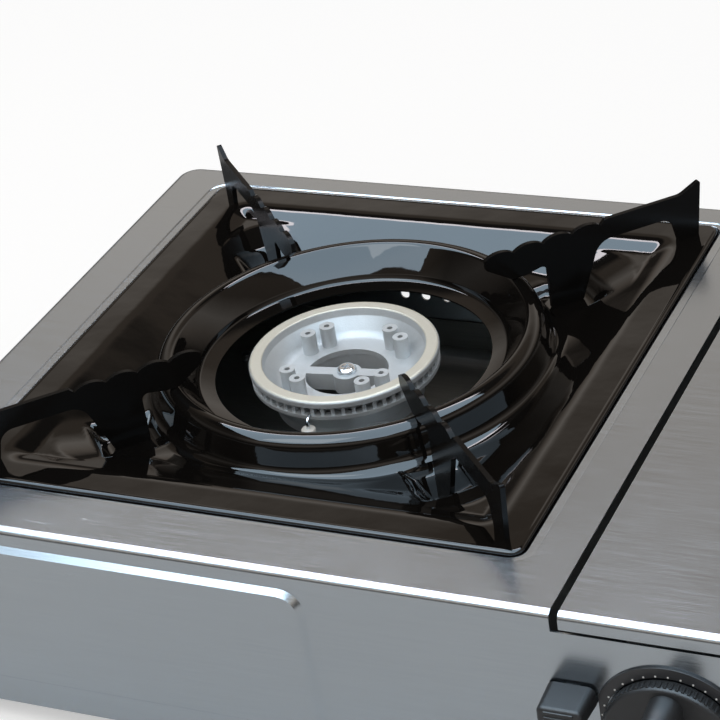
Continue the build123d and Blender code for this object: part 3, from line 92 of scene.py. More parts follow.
camera = bpy.data.objects.new("camera", bpy.data.cameras.new("camera"))
bpy.context.scene.collection.objects.link(camera)
bpy.context.scene.camera = camera
camera.data.lens = CAMERA_LENS
aim = Vector((PAN_X + AIM_RIGHT_OF_PAN, PAN_Y - AIM_FRONT_OF_PAN, DECK_Z))
camera.matrix_world = look_from(CAMERA_AZIMUTH, CAMERA_ELEVATION, CAMERA_ROLL, CAMERA_DISTANCE, aim)
bpy.context.scene.view_settings.view_transform = "Standard"
print("camera stands at, in mm:", [round(x / MM) for x in camera.matrix_world.translation])

# %% [markdown]
# ## The studio
# The photograph shows the stove cut out on pure white, yet the enamel mirrors a dim brown room that
# is darker to the left, under a cool light overhead. So three kinds of rays get three skies: the
# camera sees white, mirrored rays see the dim room, and the rays that only carry light find an even
# soft fill.

# %% Sky
SKY_FILL = 0.62

# Each colour of the room belongs to the upward part of a mirrored ray's direction, from 0 to 1.
ROOM_COLOURS = {
    0.15: (0.05, 0.042, 0.035),
    0.29: (0.46, 0.39, 0.33),
    0.42: (0.84, 0.76, 0.68),
    0.57: (0.27, 0.22, 0.175),
    0.67: (0.31, 0.25, 0.20),
    0.73: (0.04, 0.036, 0.032),
}

# Rays that go far to the left see only this share of the room's light.
DARK_SIDE = (-0.70, -0.50)
DARK_SIDE_SHARE = 0.30


def mixed(tree, kind, first, second, factor):
    """A Mix or Add of two shaders; gives its output socket."""
    node = tree.nodes.new(kind)
    if factor is not None:
        tree.links.new(factor, node.inputs[0])
    tree.links.new(first, node.inputs[len(node.inputs) - 2])
    tree.links.new(second, node.inputs[len(node.inputs) - 1])
    return node.outputs[0]


def make_sky():
    """White for the camera, a dim room for mirrored rays, and an even fill for all others."""
    world = bpy.data.worlds.new("studio")
    bpy.context.scene.world = world
    world.use_nodes = True
    tree = world.node_tree
    tree.nodes.clear()
    split = tree.nodes.new("ShaderNodeSeparateXYZ")
    tree.links.new(tree.nodes.new("ShaderNodeTexCoord").outputs["Generated"], split.inputs[0])
    ramp = tree.nodes.new("ShaderNodeValToRGB")
    stops = ramp.color_ramp.elements
    while len(stops) < len(ROOM_COLOURS):
        stops.new(1.0)
    for stop, (height, colour) in zip(stops, ROOM_COLOURS.items()):
        stop.position = height
        stop.color = (*colour, 1)
    tree.links.new(split.outputs["Z"], ramp.inputs[0])
    room, white, fill = (tree.nodes.new("ShaderNodeBackground") for i in range(3))
    tree.links.new(ramp.outputs[0], room.inputs["Color"])
    side = tree.nodes.new("ShaderNodeMapRange")
    side.inputs["From Min"].default_value = DARK_SIDE[0]
    side.inputs["From Max"].default_value = DARK_SIDE[1]
    side.inputs["To Min"].default_value = DARK_SIDE_SHARE
    tree.links.new(split.outputs["X"], side.inputs["Value"])
    tree.links.new(side.outputs["Result"], room.inputs["Strength"])
    white.inputs["Color"].default_value = (1, 1, 1, 1)
    fill.inputs["Color"].default_value = (SKY_FILL, SKY_FILL, SKY_FILL, 1)
    path = tree.nodes.new("ShaderNodeLightPath").outputs
    around = mixed(tree, "ShaderNodeMixShader", fill.outputs[0], room.outputs[0], path["Is Glossy Ray"])
    shown = mixed(tree, "ShaderNodeMixShader", around, white.outputs[0], path["Is Camera Ray"])
    tree.links.new(shown, tree.nodes.new("ShaderNodeOutputWorld").inputs["Surface"])


make_sky()
print("sky:", bpy.context.scene.world.name, "with", len(ROOM_COLOURS), "colours of the room")

# %% [markdown]
# ## The floor
# The stove stands on a pale plane, which catches its soft shadow and lights the underside. A lift on
# the rays that show it to the camera makes it meet the white background without an edge.

# %% Floor
FLOOR_SIZE = 6.0
FLOOR_GREY = 0.74
FLOOR_LIFT = 0.44


def make_floor():
    """A pale plane under the feet, with a lift on the rays that show it to the camera."""
    bm = bmesh.new()
    bmesh.ops.create_grid(bm, x_segments=1, y_segments=1, size=FLOOR_SIZE / 2)
    mesh = bpy.data.meshes.new("studio_floor")
    bm.to_mesh(mesh)
    bm.free()
    floor = bpy.data.objects.new("studio_floor", mesh)
    bpy.context.scene.collection.objects.link(floor)
    material = bpy.data.materials.new("studio_floor")
    material.use_nodes = True
    tree = material.node_tree
    tree.nodes.clear()
    paper = tree.nodes.new("ShaderNodeBsdfDiffuse")
    paper.inputs["Color"].default_value = (FLOOR_GREY, FLOOR_GREY, FLOOR_GREY, 1)
    lift = tree.nodes.new("ShaderNodeEmission")
    strength = tree.nodes.new("ShaderNodeMath")
    strength.operation = "MULTIPLY"
    strength.inputs[1].default_value = FLOOR_LIFT
    tree.links.new(tree.nodes.new("ShaderNodeLightPath").outputs["Is Camera Ray"], strength.inputs[0])
    tree.links.new(strength.outputs[0], lift.inputs["Strength"])
    both = mixed(tree, "ShaderNodeAddShader", paper.outputs[0], lift.outputs[0], None)
    tree.links.new(both, tree.nodes.new("ShaderNodeOutputMaterial").inputs["Surface"])
    mesh.materials.append(material)


make_floor()
print("floor:", FLOOR_SIZE, "m wide")

# %% [markdown]
# ## The lamps
# Each lamp is a rectangle. The place of the large one was worked out from where the enamel mirrors
# it: the rear wall of the pan, the rear of the funnel and the foot of the ring all show one level
# cool panel overhead. A brighter strip along its rear edge draws the white lines on the bends. The
# panel is hidden from diffuse rays, so it shows in the mirrors and doesn't bleach the cast burner.

# %% Lamps
COOL_BLUE = (0.64, 0.83, 1.0)
PALE_PINK = (1.0, 0.95, 1.0)
WARM_WHITE = (1.0, 0.98, 0.95)
PANEL_HEIGHT = 1.20
PANEL_LEFT = -0.95
PANEL_REAR = 0.56
PAN_MIDDLE = Vector((PAN_X, PAN_Y, DECK_Z))


def soft_lamp(name, width, height, radiance, colour):
    """A rectangular lamp that shines downwards, set by the brightness it shows in a mirror."""
    data = bpy.data.lights.new(name, "AREA")
    data.shape = "RECTANGLE"
    data.size = width
    data.size_y = height
    data.energy = radiance * math.pi * width * height
    data.color = colour
    lamp = bpy.data.objects.new(name, data)
    bpy.context.scene.collection.objects.link(lamp)
    return lamp


def overhead_panel(name, right, front, rear, radiance, colour):
    """A level panel over the pan; its edges are distances from a point above the pan's middle."""
    lamp = soft_lamp(name, right - PANEL_LEFT, rear - front, radiance, colour)
    lamp.location = PAN_MIDDLE + Vector(((PANEL_LEFT + right) / 2, (front + rear) / 2, PANEL_HEIGHT))
    lamp.visible_diffuse = False


overhead_panel("panel", right=1.15, front=-1.35, rear=PANEL_REAR, radiance=5.6, colour=COOL_BLUE)
overhead_panel("panel_edge", right=0.45, front=PANEL_REAR, rear=0.68, radiance=12.0, colour=PALE_PINK)
key = soft_lamp("key", width=0.8, height=0.8, radiance=2.4, colour=WARM_WHITE)
key.matrix_world = look_from(azimuth=-20, elevation=62, roll=0, distance=1.6, target=PAN_MIDDLE)
print("lamps:", [lamp.name for lamp in bpy.data.lights])

# %% [markdown]
# ## Shared effects
# Several finishes need the same few effects, so each effect is one node group with named inputs:
# a brushed grain for steel, a slow ripple for sheet that was pressed, a fine grain for castings and
# mouldings, and handling marks that dull a shine in places. A group gives only masks and heights,
# and the shader itself stays in each material.

# %% Helpers for node trees


def new_group(name, inputs, outputs):
    """An empty shader node group with float inputs and outputs, and its two end nodes."""
    tree = bpy.data.node_groups.new(name, "ShaderNodeTree")
    for label, value in inputs:
        socket = tree.interface.new_socket(label, in_out="INPUT", socket_type="NodeSocketFloat")
        socket.default_value = value
    for label in outputs:
        tree.interface.new_socket(label, in_out="OUTPUT", socket_type="NodeSocketFloat")
    return tree, tree.nodes.new("NodeGroupInput"), tree.nodes.new("NodeGroupOutput")


def maths(tree, operation, first, second):
    """A Math node on two values, each a socket or a number; gives its output socket."""
    node = tree.nodes.new("ShaderNodeMath")
    node.operation = operation
    for place, value in enumerate((first, second)):
        if isinstance(value, (int, float)):
            node.inputs[place].default_value = value
        else:
            tree.links.new(value, node.inputs[place])
    return node.outputs[0]


def noise(tree, vector, scale, detail=2.0, roughness=0.5):
    """A Noise texture on a vector; scale is a socket or a number."""
    node = tree.nodes.new("ShaderNodeTexNoise")
    node.inputs["Detail"].default_value = detail
    node.inputs["Roughness"].default_value = roughness
    tree.links.new(vector, node.inputs["Vector"])
    if isinstance(scale, (int, float)):
        node.inputs["Scale"].default_value = scale
    else:
        tree.links.new(scale, node.inputs["Scale"])
    return node.outputs["Fac"]


def spread(tree, value, low, high, to_low=0.0, to_high=1.0):
    """A Map Range node that takes low..high to to_low..to_high; gives its output socket."""
    node = tree.nodes.new("ShaderNodeMapRange")
    tree.links.new(value, node.inputs["Value"])
    node.inputs["From Min"].default_value = low
    node.inputs["From Max"].default_value = high
    node.inputs["To Min"].default_value = to_low
    node.inputs["To Max"].default_value = to_high
    return node.outputs["Result"]


def object_point(tree):
    """The Object coordinates socket of a tree."""
    return tree.nodes.new("ShaderNodeTexCoord").outputs["Object"]


print("helpers:", [f.__name__ for f in (new_group, maths, noise, spread, object_point)])

# %% [markdown]
# Each group reads Object coordinates, which are metres on the real stove, so a scale in a noise
# texture is a count per metre and stays right on a piece of any size.

# %% Node groups for grain, ripple and marks


def brushed_grain_group():
    """Long fine scratches along X, as on sheet that a belt has brushed."""
    tree, start, end = new_group("brushed_grain", [("Fineness", 900.0), ("Length", 40.0)], ["Grain"])
    split = tree.nodes.new("ShaderNodeSeparateXYZ")
    tree.links.new(object_point(tree), split.inputs[0])
    join = tree.nodes.new("ShaderNodeCombineXYZ")
    ratio = maths(tree, "DIVIDE", 1.0, start.outputs["Length"])
    tree.links.new(maths(tree, "MULTIPLY", split.outputs["X"], ratio), join.inputs["X"])
    tree.links.new(split.outputs["Y"], join.inputs["Y"])
    tree.links.new(split.outputs["Z"], join.inputs["Z"])
    streaks = noise(tree, join.outputs[0], start.outputs["Fineness"], 3.0, 0.6)
    tree.links.new(spread(tree, streaks, 0.3, 0.7), end.inputs["Grain"])
    return tree


def pressed_ripple_group():
    """Slow waves that a press leaves in thin sheet, in metres of height."""
    tree, start, end = new_group("pressed_ripple", [("Waves", 28.0), ("Depth", 0.0002)], ["Height"])
    waves = noise(tree, object_point(tree), start.outputs["Waves"], 1.0, 0.4)
    tree.links.new(maths(tree, "MULTIPLY", waves, start.outputs["Depth"]), end.inputs["Height"])
    return tree


def fine_grain_group():
    """Close even grain of a casting or a moulding, as a mask and a height in metres."""
    inputs = [("Grains", 2200.0), ("Depth", 0.00005)]
    tree, start, end = new_group("fine_grain", inputs, ["Grain", "Height"])
    grain = noise(tree, object_point(tree), start.outputs["Grains"], 2.0, 0.65)
    tree.links.new(grain, end.inputs["Grain"])
    tree.links.new(maths(tree, "MULTIPLY", grain, start.outputs["Depth"]), end.inputs["Height"])
    return tree


def handling_marks_group():
    """Cloudy patches where hands and wiping have dulled a surface."""
    tree, start, end = new_group("handling_marks", [("Patches", 18.0)], ["Mark"])
    cloud = noise(tree, object_point(tree), start.outputs["Patches"], 5.0, 0.6)
    tree.links.new(spread(tree, cloud, 0.45, 0.75), end.inputs["Mark"])
    return tree


GRAIN = brushed_grain_group()
RIPPLE = pressed_ripple_group()
FINE = fine_grain_group()
MARKS = handling_marks_group()
print("effects:", [g.name for g in (GRAIN, RIPPLE, FINE, MARKS)])

# %% [markdown]
# ## Satin steel of the casing
# The casing is bright stainless sheet with a dull satin grain. A belt brushed it along its length
# before it was folded, so the scratches run along X on every face. They vary the roughness and the
# height a little; cloudy marks dull it further, and a slow ripple shows that the sheet is thin.

# %% Helpers for materials
GLASS_IOR = 1.5


def new_finish(name, colour, metallic=0.0):
    """A material with one Principled shader; gives the material, its tree and the shader."""
    material = bpy.data.materials.new(name)
    material.use_nodes = True
    tree = material.node_tree
    shader = tree.nodes["Principled BSDF"]
    shader.inputs["Base Color"].default_value = (*colour, 1)
    shader.inputs["Metallic"].default_value = metallic
    shader.inputs["IOR"].default_value = GLASS_IOR
    return material, tree, shader


def effect(tree, group, **values):
    """A node group placed in a material, with its inputs set by name."""
    node = tree.nodes.new("ShaderNodeGroup")
    node.node_tree = group
    for label, value in values.items():
        node.inputs[label].default_value = value
    return node


def tint(tree, mask, dark, light):
    """A colour that goes from dark to light with a mask."""
    node = tree.nodes.new("ShaderNodeMix")
    node.data_type = "RGBA"
    tree.links.new(mask, node.inputs["Factor"])
    node.inputs["A"].default_value = (*dark, 1)
    node.inputs["B"].default_value = (*light, 1)
    return node.outputs["Result"]


def bump(tree, shader, height):
    """Feeds a height in metres to the shader's normal."""
    node = tree.nodes.new("ShaderNodeBump")
    node.inputs["Strength"].default_value = 1.0
    node.inputs["Distance"].default_value = 1.0
    tree.links.new(height, node.inputs["Height"])
    tree.links.new(node.outputs["Normal"], shader.inputs["Normal"])


print("helpers:", [f.__name__ for f in (new_finish, effect, tint, bump)])

# %% [markdown]
# The casing and the sheet pieces inside it share one recipe. The inner pieces are zinc-coated, so they
# are duller, and they are less metallic, so that the tray doesn't flare under the burner. Their colour
# is also darkened, as painted shade for the dim inside of the casing.

# %% Steel finishes
GRAIN_SHARE = 0.75
SCRATCH_DEPTH = 0.000004


def satin_steel(name, dark, light, smooth, rough, ripple, metallic):
    """Brushed sheet: the grain tints it and scatters its shine, and marks dull it in patches."""
    material, tree, shader = new_finish(name, light, metallic=metallic)
    grain = effect(tree, GRAIN, Fineness=1500.0, Length=45.0)
    marks = effect(tree, MARKS, Patches=14.0)
    sheen = maths(tree, "ADD", maths(tree, "MULTIPLY", grain.outputs["Grain"], GRAIN_SHARE),
                  maths(tree, "MULTIPLY", marks.outputs["Mark"], 1 - GRAIN_SHARE))
    tree.links.new(tint(tree, sheen, dark, light), shader.inputs["Base Color"])
    tree.links.new(spread(tree, sheen, 0.0, 1.0, smooth, rough), shader.inputs["Roughness"])
    waves = effect(tree, RIPPLE, Waves=9.0, Depth=ripple)
    scratches = maths(tree, "MULTIPLY", grain.outputs["Grain"], SCRATCH_DEPTH)
    bump(tree, shader, maths(tree, "ADD", waves.outputs["Height"], scratches))
    return material


case_steel = satin_steel("satin_casing", (0.44, 0.475, 0.505), (0.475, 0.51, 0.54),
                         smooth=0.20, rough=0.28, ripple=0.0002, metallic=1.0)
# The inner sheet's dark colour is partly its zinc coat and partly painted shade for the dim inside of
# the casing.
tray_steel = satin_steel("zinc_sheet_painted_shade", (0.20, 0.20, 0.185), (0.28, 0.28, 0.26),
                         smooth=0.34, rough=0.50, ripple=0.0004, metallic=0.5)
print("steel finishes:", case_steel.name, tray_steel.name)

# %% [markdown]
# ## Black enamel
# The pan and the pot plates are dipped in glass enamel and fired. The coat is nearly black with a
# warm cast, very smooth, and slightly wavy where it ran before it set. The waves matter more than
# the colour: they bend the reflected light into the soft, uneven bands seen in the photograph. The
# plates get a weaker mirror, so that they stay black in front of the pan, as in the photograph.

# %% Enamel finish
WARM_BLACK = (0.0050, 0.0044, 0.0040)
PAN_GLOSS = 0.5
PLATE_GLOSS = 0.09


def fired_enamel(name, smooth, rough, waviness, gloss):
    """Black glass with a slow ripple, a fine orange peel and a few dull wiping marks."""
    material, tree, shader = new_finish(name, WARM_BLACK)
    marks = effect(tree, MARKS, Patches=22.0)
    dulled = spread(tree, marks.outputs["Mark"], 0.0, 1.0, smooth, rough)
    tree.links.new(dulled, shader.inputs["Roughness"])
    waves = effect(tree, RIPPLE, Waves=34.0, Depth=waviness)
    peel = effect(tree, RIPPLE, Waves=210.0, Depth=0.00002)
    bump(tree, shader, maths(tree, "ADD", waves.outputs["Height"], peel.outputs["Height"]))
    shader.inputs["Specular IOR Level"].default_value = gloss
    return material


black_enamel = fired_enamel("fired_enamel", 0.03, 0.075, waviness=0.00045, gloss=PAN_GLOSS)
plate_enamel = fired_enamel("dipped_enamel", 0.20, 0.30, waviness=0.0001, gloss=PLATE_GLOSS)
print("enamels:", black_enamel.name, plate_enamel.name)

# %% [markdown]
# ## Cast and turned metals
# The burner is a pressure die casting in pale alloy: matt in the bowl, and turned to a clean flat on
# its rim, where the cutter left fine rings. The rim is found by its height and its distance from the
# burner's axis, so a single material can hold both finishes and each keeps a sharp border.

# %% Die castings
burner_low, burner_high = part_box("burner_head")
BURNER_X = (burner_low.x + burner_high.x) / 2
BURNER_Y = (burner_low.y + burner_high.y) / 2
BURNER_TOP = burner_high.z
RIM_INNER = 31.2 * MM
RIM_SKIN = 0.35 * MM
TURNED_PITCH = 0.45 * MM
TURNED_DEPTH = 0.000004
TURNED_DARK = (0.52, 0.475, 0.39)
TURNED_LIGHT = (0.56, 0.515, 0.43)
CAST_METALLIC = 0.35
CAST_GRAIN_SHARE = 0.6


def burner_radius(tree):
    """Distance from the burner's upright axis, and the height, as two sockets."""
    centred = tree.nodes.new("ShaderNodeVectorMath")
    centred.operation = "SUBTRACT"
    tree.links.new(object_point(tree), centred.inputs[0])
    centred.inputs[1].default_value = (BURNER_X, BURNER_Y, 0)
    split = tree.nodes.new("ShaderNodeSeparateXYZ")
    tree.links.new(centred.outputs[0], split.inputs[0])
    squares = maths(tree, "ADD", maths(tree, "MULTIPLY", split.outputs["X"], split.outputs["X"]),
                    maths(tree, "MULTIPLY", split.outputs["Y"], split.outputs["Y"]))
    return maths(tree, "SQRT", squares, 0.0), split.outputs["Z"]


def cast_alloy(name, dark, light, turned_rim=False):
    """Die-cast alloy with a close grain and, if asked, a turned rim with fine rings."""
    material, tree, shader = new_finish(name, light, metallic=CAST_METALLIC)
    grain = effect(tree, FINE, Grains=1400.0, Depth=0.00005)
    marks = effect(tree, MARKS, Patches=60.0)
    patchy = maths(tree, "ADD", maths(tree, "MULTIPLY", grain.outputs["Grain"], CAST_GRAIN_SHARE),
                   maths(tree, "MULTIPLY", marks.outputs["Mark"], 1 - CAST_GRAIN_SHARE))
    colour = tint(tree, patchy, dark, light)
    rough = spread(tree, grain.outputs["Grain"], 0.3, 0.7, 0.40, 0.58)
    height = grain.outputs["Height"]
    if turned_rim:
        radius, z = burner_radius(tree)
        on_rim = maths(tree, "MULTIPLY", maths(tree, "GREATER_THAN", radius, RIM_INNER),
                       maths(tree, "GREATER_THAN", z, BURNER_TOP - RIM_SKIN))
        rings = maths(tree, "SINE", maths(tree, "MULTIPLY", radius, 2 * math.pi / TURNED_PITCH), 0.0)
        turned = tint(tree, spread(tree, rings, -1, 1), TURNED_DARK, TURNED_LIGHT)
        blend = tree.nodes.new("ShaderNodeMix")
        blend.data_type = "RGBA"
        tree.links.new(on_rim, blend.inputs["Factor"])
        tree.links.new(colour, blend.inputs["A"])
        tree.links.new(turned, blend.inputs["B"])
        colour = blend.outputs["Result"]
        off_rim = maths(tree, "SUBTRACT", 1.0, on_rim)
        turned_rings = maths(tree, "MULTIPLY", maths(tree, "MULTIPLY", rings, on_rim), TURNED_DEPTH)
        height = maths(tree, "ADD", maths(tree, "MULTIPLY", height, off_rim), turned_rings)
    tree.links.new(colour, shader.inputs["Base Color"])
    tree.links.new(rough, shader.inputs["Roughness"])
    bump(tree, shader, height)
    return material


burner_alloy = cast_alloy("burner_casting", (0.42, 0.425, 0.425), (0.57, 0.575, 0.575), turned_rim=True)
valve_alloy = cast_alloy("valve_casting", (0.42, 0.42, 0.42), (0.56, 0.56, 0.56))
print("castings:", burner_alloy.name, valve_alloy.name)

# %% [markdown]
# ## Brass and plated steel
# The jet and the nozzle are turned from brass, and the screws, pins, stem and spark tip are plated.
# Both are bright metals that only handling has dulled, so they differ by colour and roughness alone.

# %% Brass and plated steel


def bright_metal(name, dark, light, smooth, rough):
    """Turned or plated metal: clean, with slight handling marks."""
    material, tree, shader = new_finish(name, light, metallic=1.0)
    marks = effect(tree, MARKS, Patches=120.0)
    grain = effect(tree, FINE, Grains=3000.0, Depth=0.00001)
    tree.links.new(tint(tree, marks.outputs["Mark"], light, dark), shader.inputs["Base Color"])
    dulled = spread(tree, marks.outputs["Mark"], 0.0, 1.0, smooth, rough)
    tree.links.new(dulled, shader.inputs["Roughness"])
    bump(tree, shader, grain.outputs["Height"])
    return material


brass = bright_metal("turned_brass", (0.55, 0.40, 0.18), (0.74, 0.57, 0.29), 0.22, 0.40)
plated_steel = bright_metal("zinc_plating", (0.55, 0.57, 0.58), (0.74, 0.76, 0.78), 0.16, 0.34)
print("bright metals:", brass.name, plated_steel.name)

# %% [markdown]
# ## Ceramic, rubber and plastic
# The igniter's sleeve is white glazed ceramic. The feet and the seal are matt black rubber. The knob,
# the lever and the igniter's case are moulded plastic, whose fine spark-eroded grain scatters light.

# %% Non-metals
ROUGH_SPREAD = 0.06


def moulded(name, colour, pale, rough, grains, depth):
    """A moulded or fired non-metal: a fine grain in its height, and faint patches in its colour."""
    material, tree, shader = new_finish(name, colour)
    grain = effect(tree, FINE, Grains=grains, Depth=depth)
    marks = effect(tree, MARKS, Patches=40.0)
    tree.links.new(tint(tree, marks.outputs["Mark"], colour, pale), shader.inputs["Base Color"])
    uneven = spread(tree, grain.outputs["Grain"], 0.3, 0.7, rough - ROUGH_SPREAD, rough + ROUGH_SPREAD)
    tree.links.new(uneven, shader.inputs["Roughness"])
    bump(tree, shader, grain.outputs["Height"])
    return material


ceramic = moulded("glazed_ceramic", (0.80, 0.79, 0.75), (0.74, 0.71, 0.65),
                  rough=0.16, grains=900.0, depth=0.00001)
rubber = moulded("matt_rubber", (0.020, 0.020, 0.020), (0.030, 0.029, 0.028),
                 rough=0.72, grains=1800.0, depth=0.00005)
black_plastic = moulded("grained_plastic", (0.018, 0.018, 0.019), (0.024, 0.024, 0.025),
                        rough=0.42, grains=2600.0, depth=0.00004)
bezel_finish = moulded("bezel_paint", (0.030, 0.030, 0.032), (0.040, 0.040, 0.042),
                       rough=0.34, grains=2200.0, depth=0.00002)
print("non-metals:", [m.name for m in (ceramic, rubber, black_plastic, bezel_finish)])

# %% [markdown]
# ## A finish for every node
# The record names the material slot of each node. One dictionary from slot to finish is enough, and
# a slot that it lacks would stop the script here, not show as a grey piece in the render.

# %% Finishes on the nodes
FINISHES = {
    "case_steel": case_steel,
    "tray_steel": tray_steel,
    "black_enamel": black_enamel,
    "burner_alloy": burner_alloy,
    "valve_alloy": valve_alloy,
    "brass": brass,
    "plated_steel": plated_steel,
    "ceramic": ceramic,
    "rubber": rubber,
    "black_plastic": black_plastic,
    "bezel_finish": bezel_finish,
}
for subpart in frame["record"]["subparts"]:
    node = frame["nodes"][subpart["node"]]
    node.data.materials.clear()
    node.data.materials.append(FINISHES[subpart["material_slot"]])

# %% [markdown]
# ## Drip pan
# The pan is one pressing: a rolled edge, a flat rim, a shallow square dish and a round ring with a
# funnel inside it. A press rounds every change of slope, so the form could be cut from rounded
# patches, but it is easier to treat it as a height over the plane. The dish is a height that
# depends on the distance from the edge, the ring is one that depends on the radius, and the larger
# of the two, with a soft change-over, is the pan. Loops of points run round it from hole to edge.

# %% Curves and bends
LOOP_POINTS = 400
CORNER_CROWDING = 0.72
TINY = 1e-9


def loop_angles():
    """Angles of the points of a loop, closer together towards the corners of a square."""
    turns = [2 * math.pi * i / LOOP_POINTS for i in range(LOOP_POINTS)]
    return [turn + CORNER_CROWDING * math.sin(4 * turn) / 4 for turn in turns]


def reach(angle, half_x, half_y, corner):
    """Distance from the middle of a rounded rectangle to its outline at an angle."""
    c, s = abs(math.cos(angle)), abs(math.sin(angle))
    side = min(half_x / max(c, TINY), half_y / max(s, TINY))
    hub_x, hub_y = half_x - corner, half_y - corner
    if side * c <= hub_x or side * s <= hub_y:
        return side
    along = hub_x * c + hub_y * s
    return along + math.sqrt(along ** 2 - hub_x ** 2 - hub_y ** 2 + corner ** 2)


def eased(value, start, end):
    """The integral of a ramp that rises from 0 at start to 1 at end."""
    inside = min(max(value, start), end) - start
    return inside ** 2 / (2 * (end - start)) + max(value - end, 0.0)


def soft_larger(first, second, width):
    """The larger of two heights, with a rounded change-over of that width."""
    near = max(width - abs(first - second), 0.0) / width
    return max(first, second) + near ** 2 * width / 4


def rounded_line(corners, radii, step):
    """Points along a line through corners, each inner corner rounded by its radius."""
    points = [Vector(corners[0])]
    for before, corner, after, radius in zip(corners, corners[1:], corners[2:], radii):
        here = Vector(corner)
        back = (Vector(before) - here).normalized()
        ahead = (Vector(after) - here).normalized()
        half_turn = (math.pi - back.angle(ahead)) / 2
        hub = here + (back + ahead).normalized() * radius / math.cos(half_turn)
        run_in = radius * math.tan(half_turn)
        first = here + back * run_in
        last = here + ahead * run_in
        count = max(2, math.ceil(2 * half_turn * radius / step))
        for i in range(count + 1):
            spoke = (first - hub).slerp(last - hub, i / count)
            points.append(hub + spoke.normalized() * radius)
    points.append(Vector(corners[-1]))
    return points


print("points in a loop:", LOOP_POINTS)

# %% [markdown]
# A sheet is made as one surface and then given its thickness by a Solidify modifier, as a press gives
# one thickness to all of a blank. The modifier is applied at once, so the piece is a plain mesh.

# %% From loops to a sheet
SHARP_ABOVE = math.radians(50)


def plain_piece(draft, material, smooth=True):
    """The same object with its modifiers turned into mesh; if asked, smooth except at sharp edges."""
    bpy.context.view_layer.update()
    evaluated = draft.evaluated_get(bpy.context.evaluated_depsgraph_get())
    draft.data = bpy.data.meshes.new_from_object(evaluated)
    draft.modifiers.clear()
    draft.data.name = draft.name
    if smooth:
        draft.data.polygons.foreach_set("use_smooth", [True] * len(draft.data.polygons))
        draft.data.set_sharp_from_angle(angle=SHARP_ABOVE)
    draft.data.materials.clear()
    draft.data.materials.append(material)
    return draft


def sheet_from_loops(name, loops, thickness, material):
    """A sheet through closed loops of points, thickened downwards, as an object."""
    bm = bmesh.new()
    rows = [[bm.verts.new(point) for point in loop] for loop in loops]
    for inner, outer in zip(rows, rows[1:]):
        for i in range(len(inner)):
            k = (i + 1) % len(inner)
            bm.faces.new((inner[i], outer[i], outer[k], inner[k]))
    mesh = bpy.data.meshes.new(name)
    bm.to_mesh(mesh)
    bm.free()
    draft = bpy.data.objects.new(name, mesh)
    bpy.context.scene.collection.objects.link(draft)
    wall = draft.modifiers.new("wall", "SOLIDIFY")
    wall.thickness = thickness
    wall.offset = -1
    return plain_piece(draft, material)


print("helpers:", plain_piece.__name__, sheet_from_loops.__name__)

# %% [markdown]
# All heights and insets of the pan are in millimetres, and an inset is measured inwards from the
# pan's edge. The slope and the floor's height were chosen by comparing where each band of light falls
# with the photograph: a steeper dish would mirror another part of the room.

# %% Pan as a height over the plane
PAN_HALF = (pan_high.x - pan_low.x) / 2 / MM
PAN_TOP = 91.0
DISH_CORNER = 22.0
DISH_FOLD = 26.0
RIM_FALL = 0.012
DISH_SLOPE = 0.37
RIM_BEND = (11.5, 17.0)
FLOOR_BEND = (35.0, 43.0)
FOOT_BLEND = 2.2
RING_FOOT = 80.0
SEAT_RADIUS = 91.5
SEAT_HALF = (8.0, 7.5)
SEAT_TOP = 78.4
SEAT_MARGIN = 6.0


def dish_inset(x, y):
    """Distance inwards from the pan's edge, with wide corners and a soft fold on the diagonals."""
    across, along = (abs(v) - (PAN_HALF - DISH_CORNER) for v in (x, y))
    outside = math.hypot(max(across, 0), max(along, 0))
    return DISH_CORNER - outside - min(soft_larger(across, along, DISH_FOLD), 0.0)


def dish_height(x, y):
    """Height of the rim, the sloping dish and its floor."""
    inset = dish_inset(x, y)
    fall = eased(inset, *RIM_BEND) - eased(inset, *FLOOR_BEND)
    return PAN_TOP - RIM_FALL * max(inset, 0) - DISH_SLOPE * fall


def seat_share(x, y):
    """1 on the four seats on the diagonals, which are let into the floor, and 0 away from them."""
    out = (abs(x) + abs(y)) / math.sqrt(2)
    aside = (abs(x) - abs(y)) / math.sqrt(2)
    beyond = max(abs(out - SEAT_RADIUS) - SEAT_HALF[0], abs(aside) - SEAT_HALF[1])
    near = min(max(1 - beyond / SEAT_MARGIN, 0.0), 1.0)
    return near * near * (3 - 2 * near)


def pan_point(x, y, ring):
    """A point of the pan, in metres, from its place and the height of the ring there."""
    height = soft_larger(dish_height(x, y), ring, FOOT_BLEND)
    if math.hypot(x, y) > RING_FOOT:
        height += (SEAT_TOP - height) * seat_share(x, y)
    return Vector((PAN_X + x * MM, PAN_Y + y * MM, height * MM))


floor_z = dish_height(PAN_HALF - FLOOR_BEND[1], 0)
print("pan's half width, in mm:", round(PAN_HALF, 1), "height of its floor:", round(floor_z, 1))

# %% [markdown]
# The loops start as circles at the hole, follow the ring's section, and then turn step by step into
# rounded squares. The last few roll over the edge and down the flange that sits in the casing. The
# ring's line gives a radius and a height for each bend of its section.

# %% Loops of the pan
HOLE_LIP = [(54, 83.3), (60.2, 84.3)]
FUNNEL = [(61, 86.5), (68.8, 96.7)]
RING_OUTSIDE = [(74.4, 96.7), (77.9, 81.6), (88, 81.6)]
RING_LINE = HOLE_LIP + FUNNEL + RING_OUTSIDE
RING_BENDS = [1.5, 1.5, 2.5, 4.9, 6.5]
RING_STEP = 0.55
RING_SINK = 6.0
LOOPS_TO_SQUARE = 26
SQUARE_INSET = 21.0
INSET_STEP = 0.7
PAN_BED = 86.0
PAN_SHEET = 0.8 * MM
EDGE_CORNER = 5.0
EDGE_BEND = 1.6
EDGE_LINE = [(EDGE_BEND, PAN_TOP), (0, PAN_TOP), (0, PAN_BED)]
EDGE_ROUNDING = 0.98 * EDGE_BEND
EDGE_STEP = 0.4


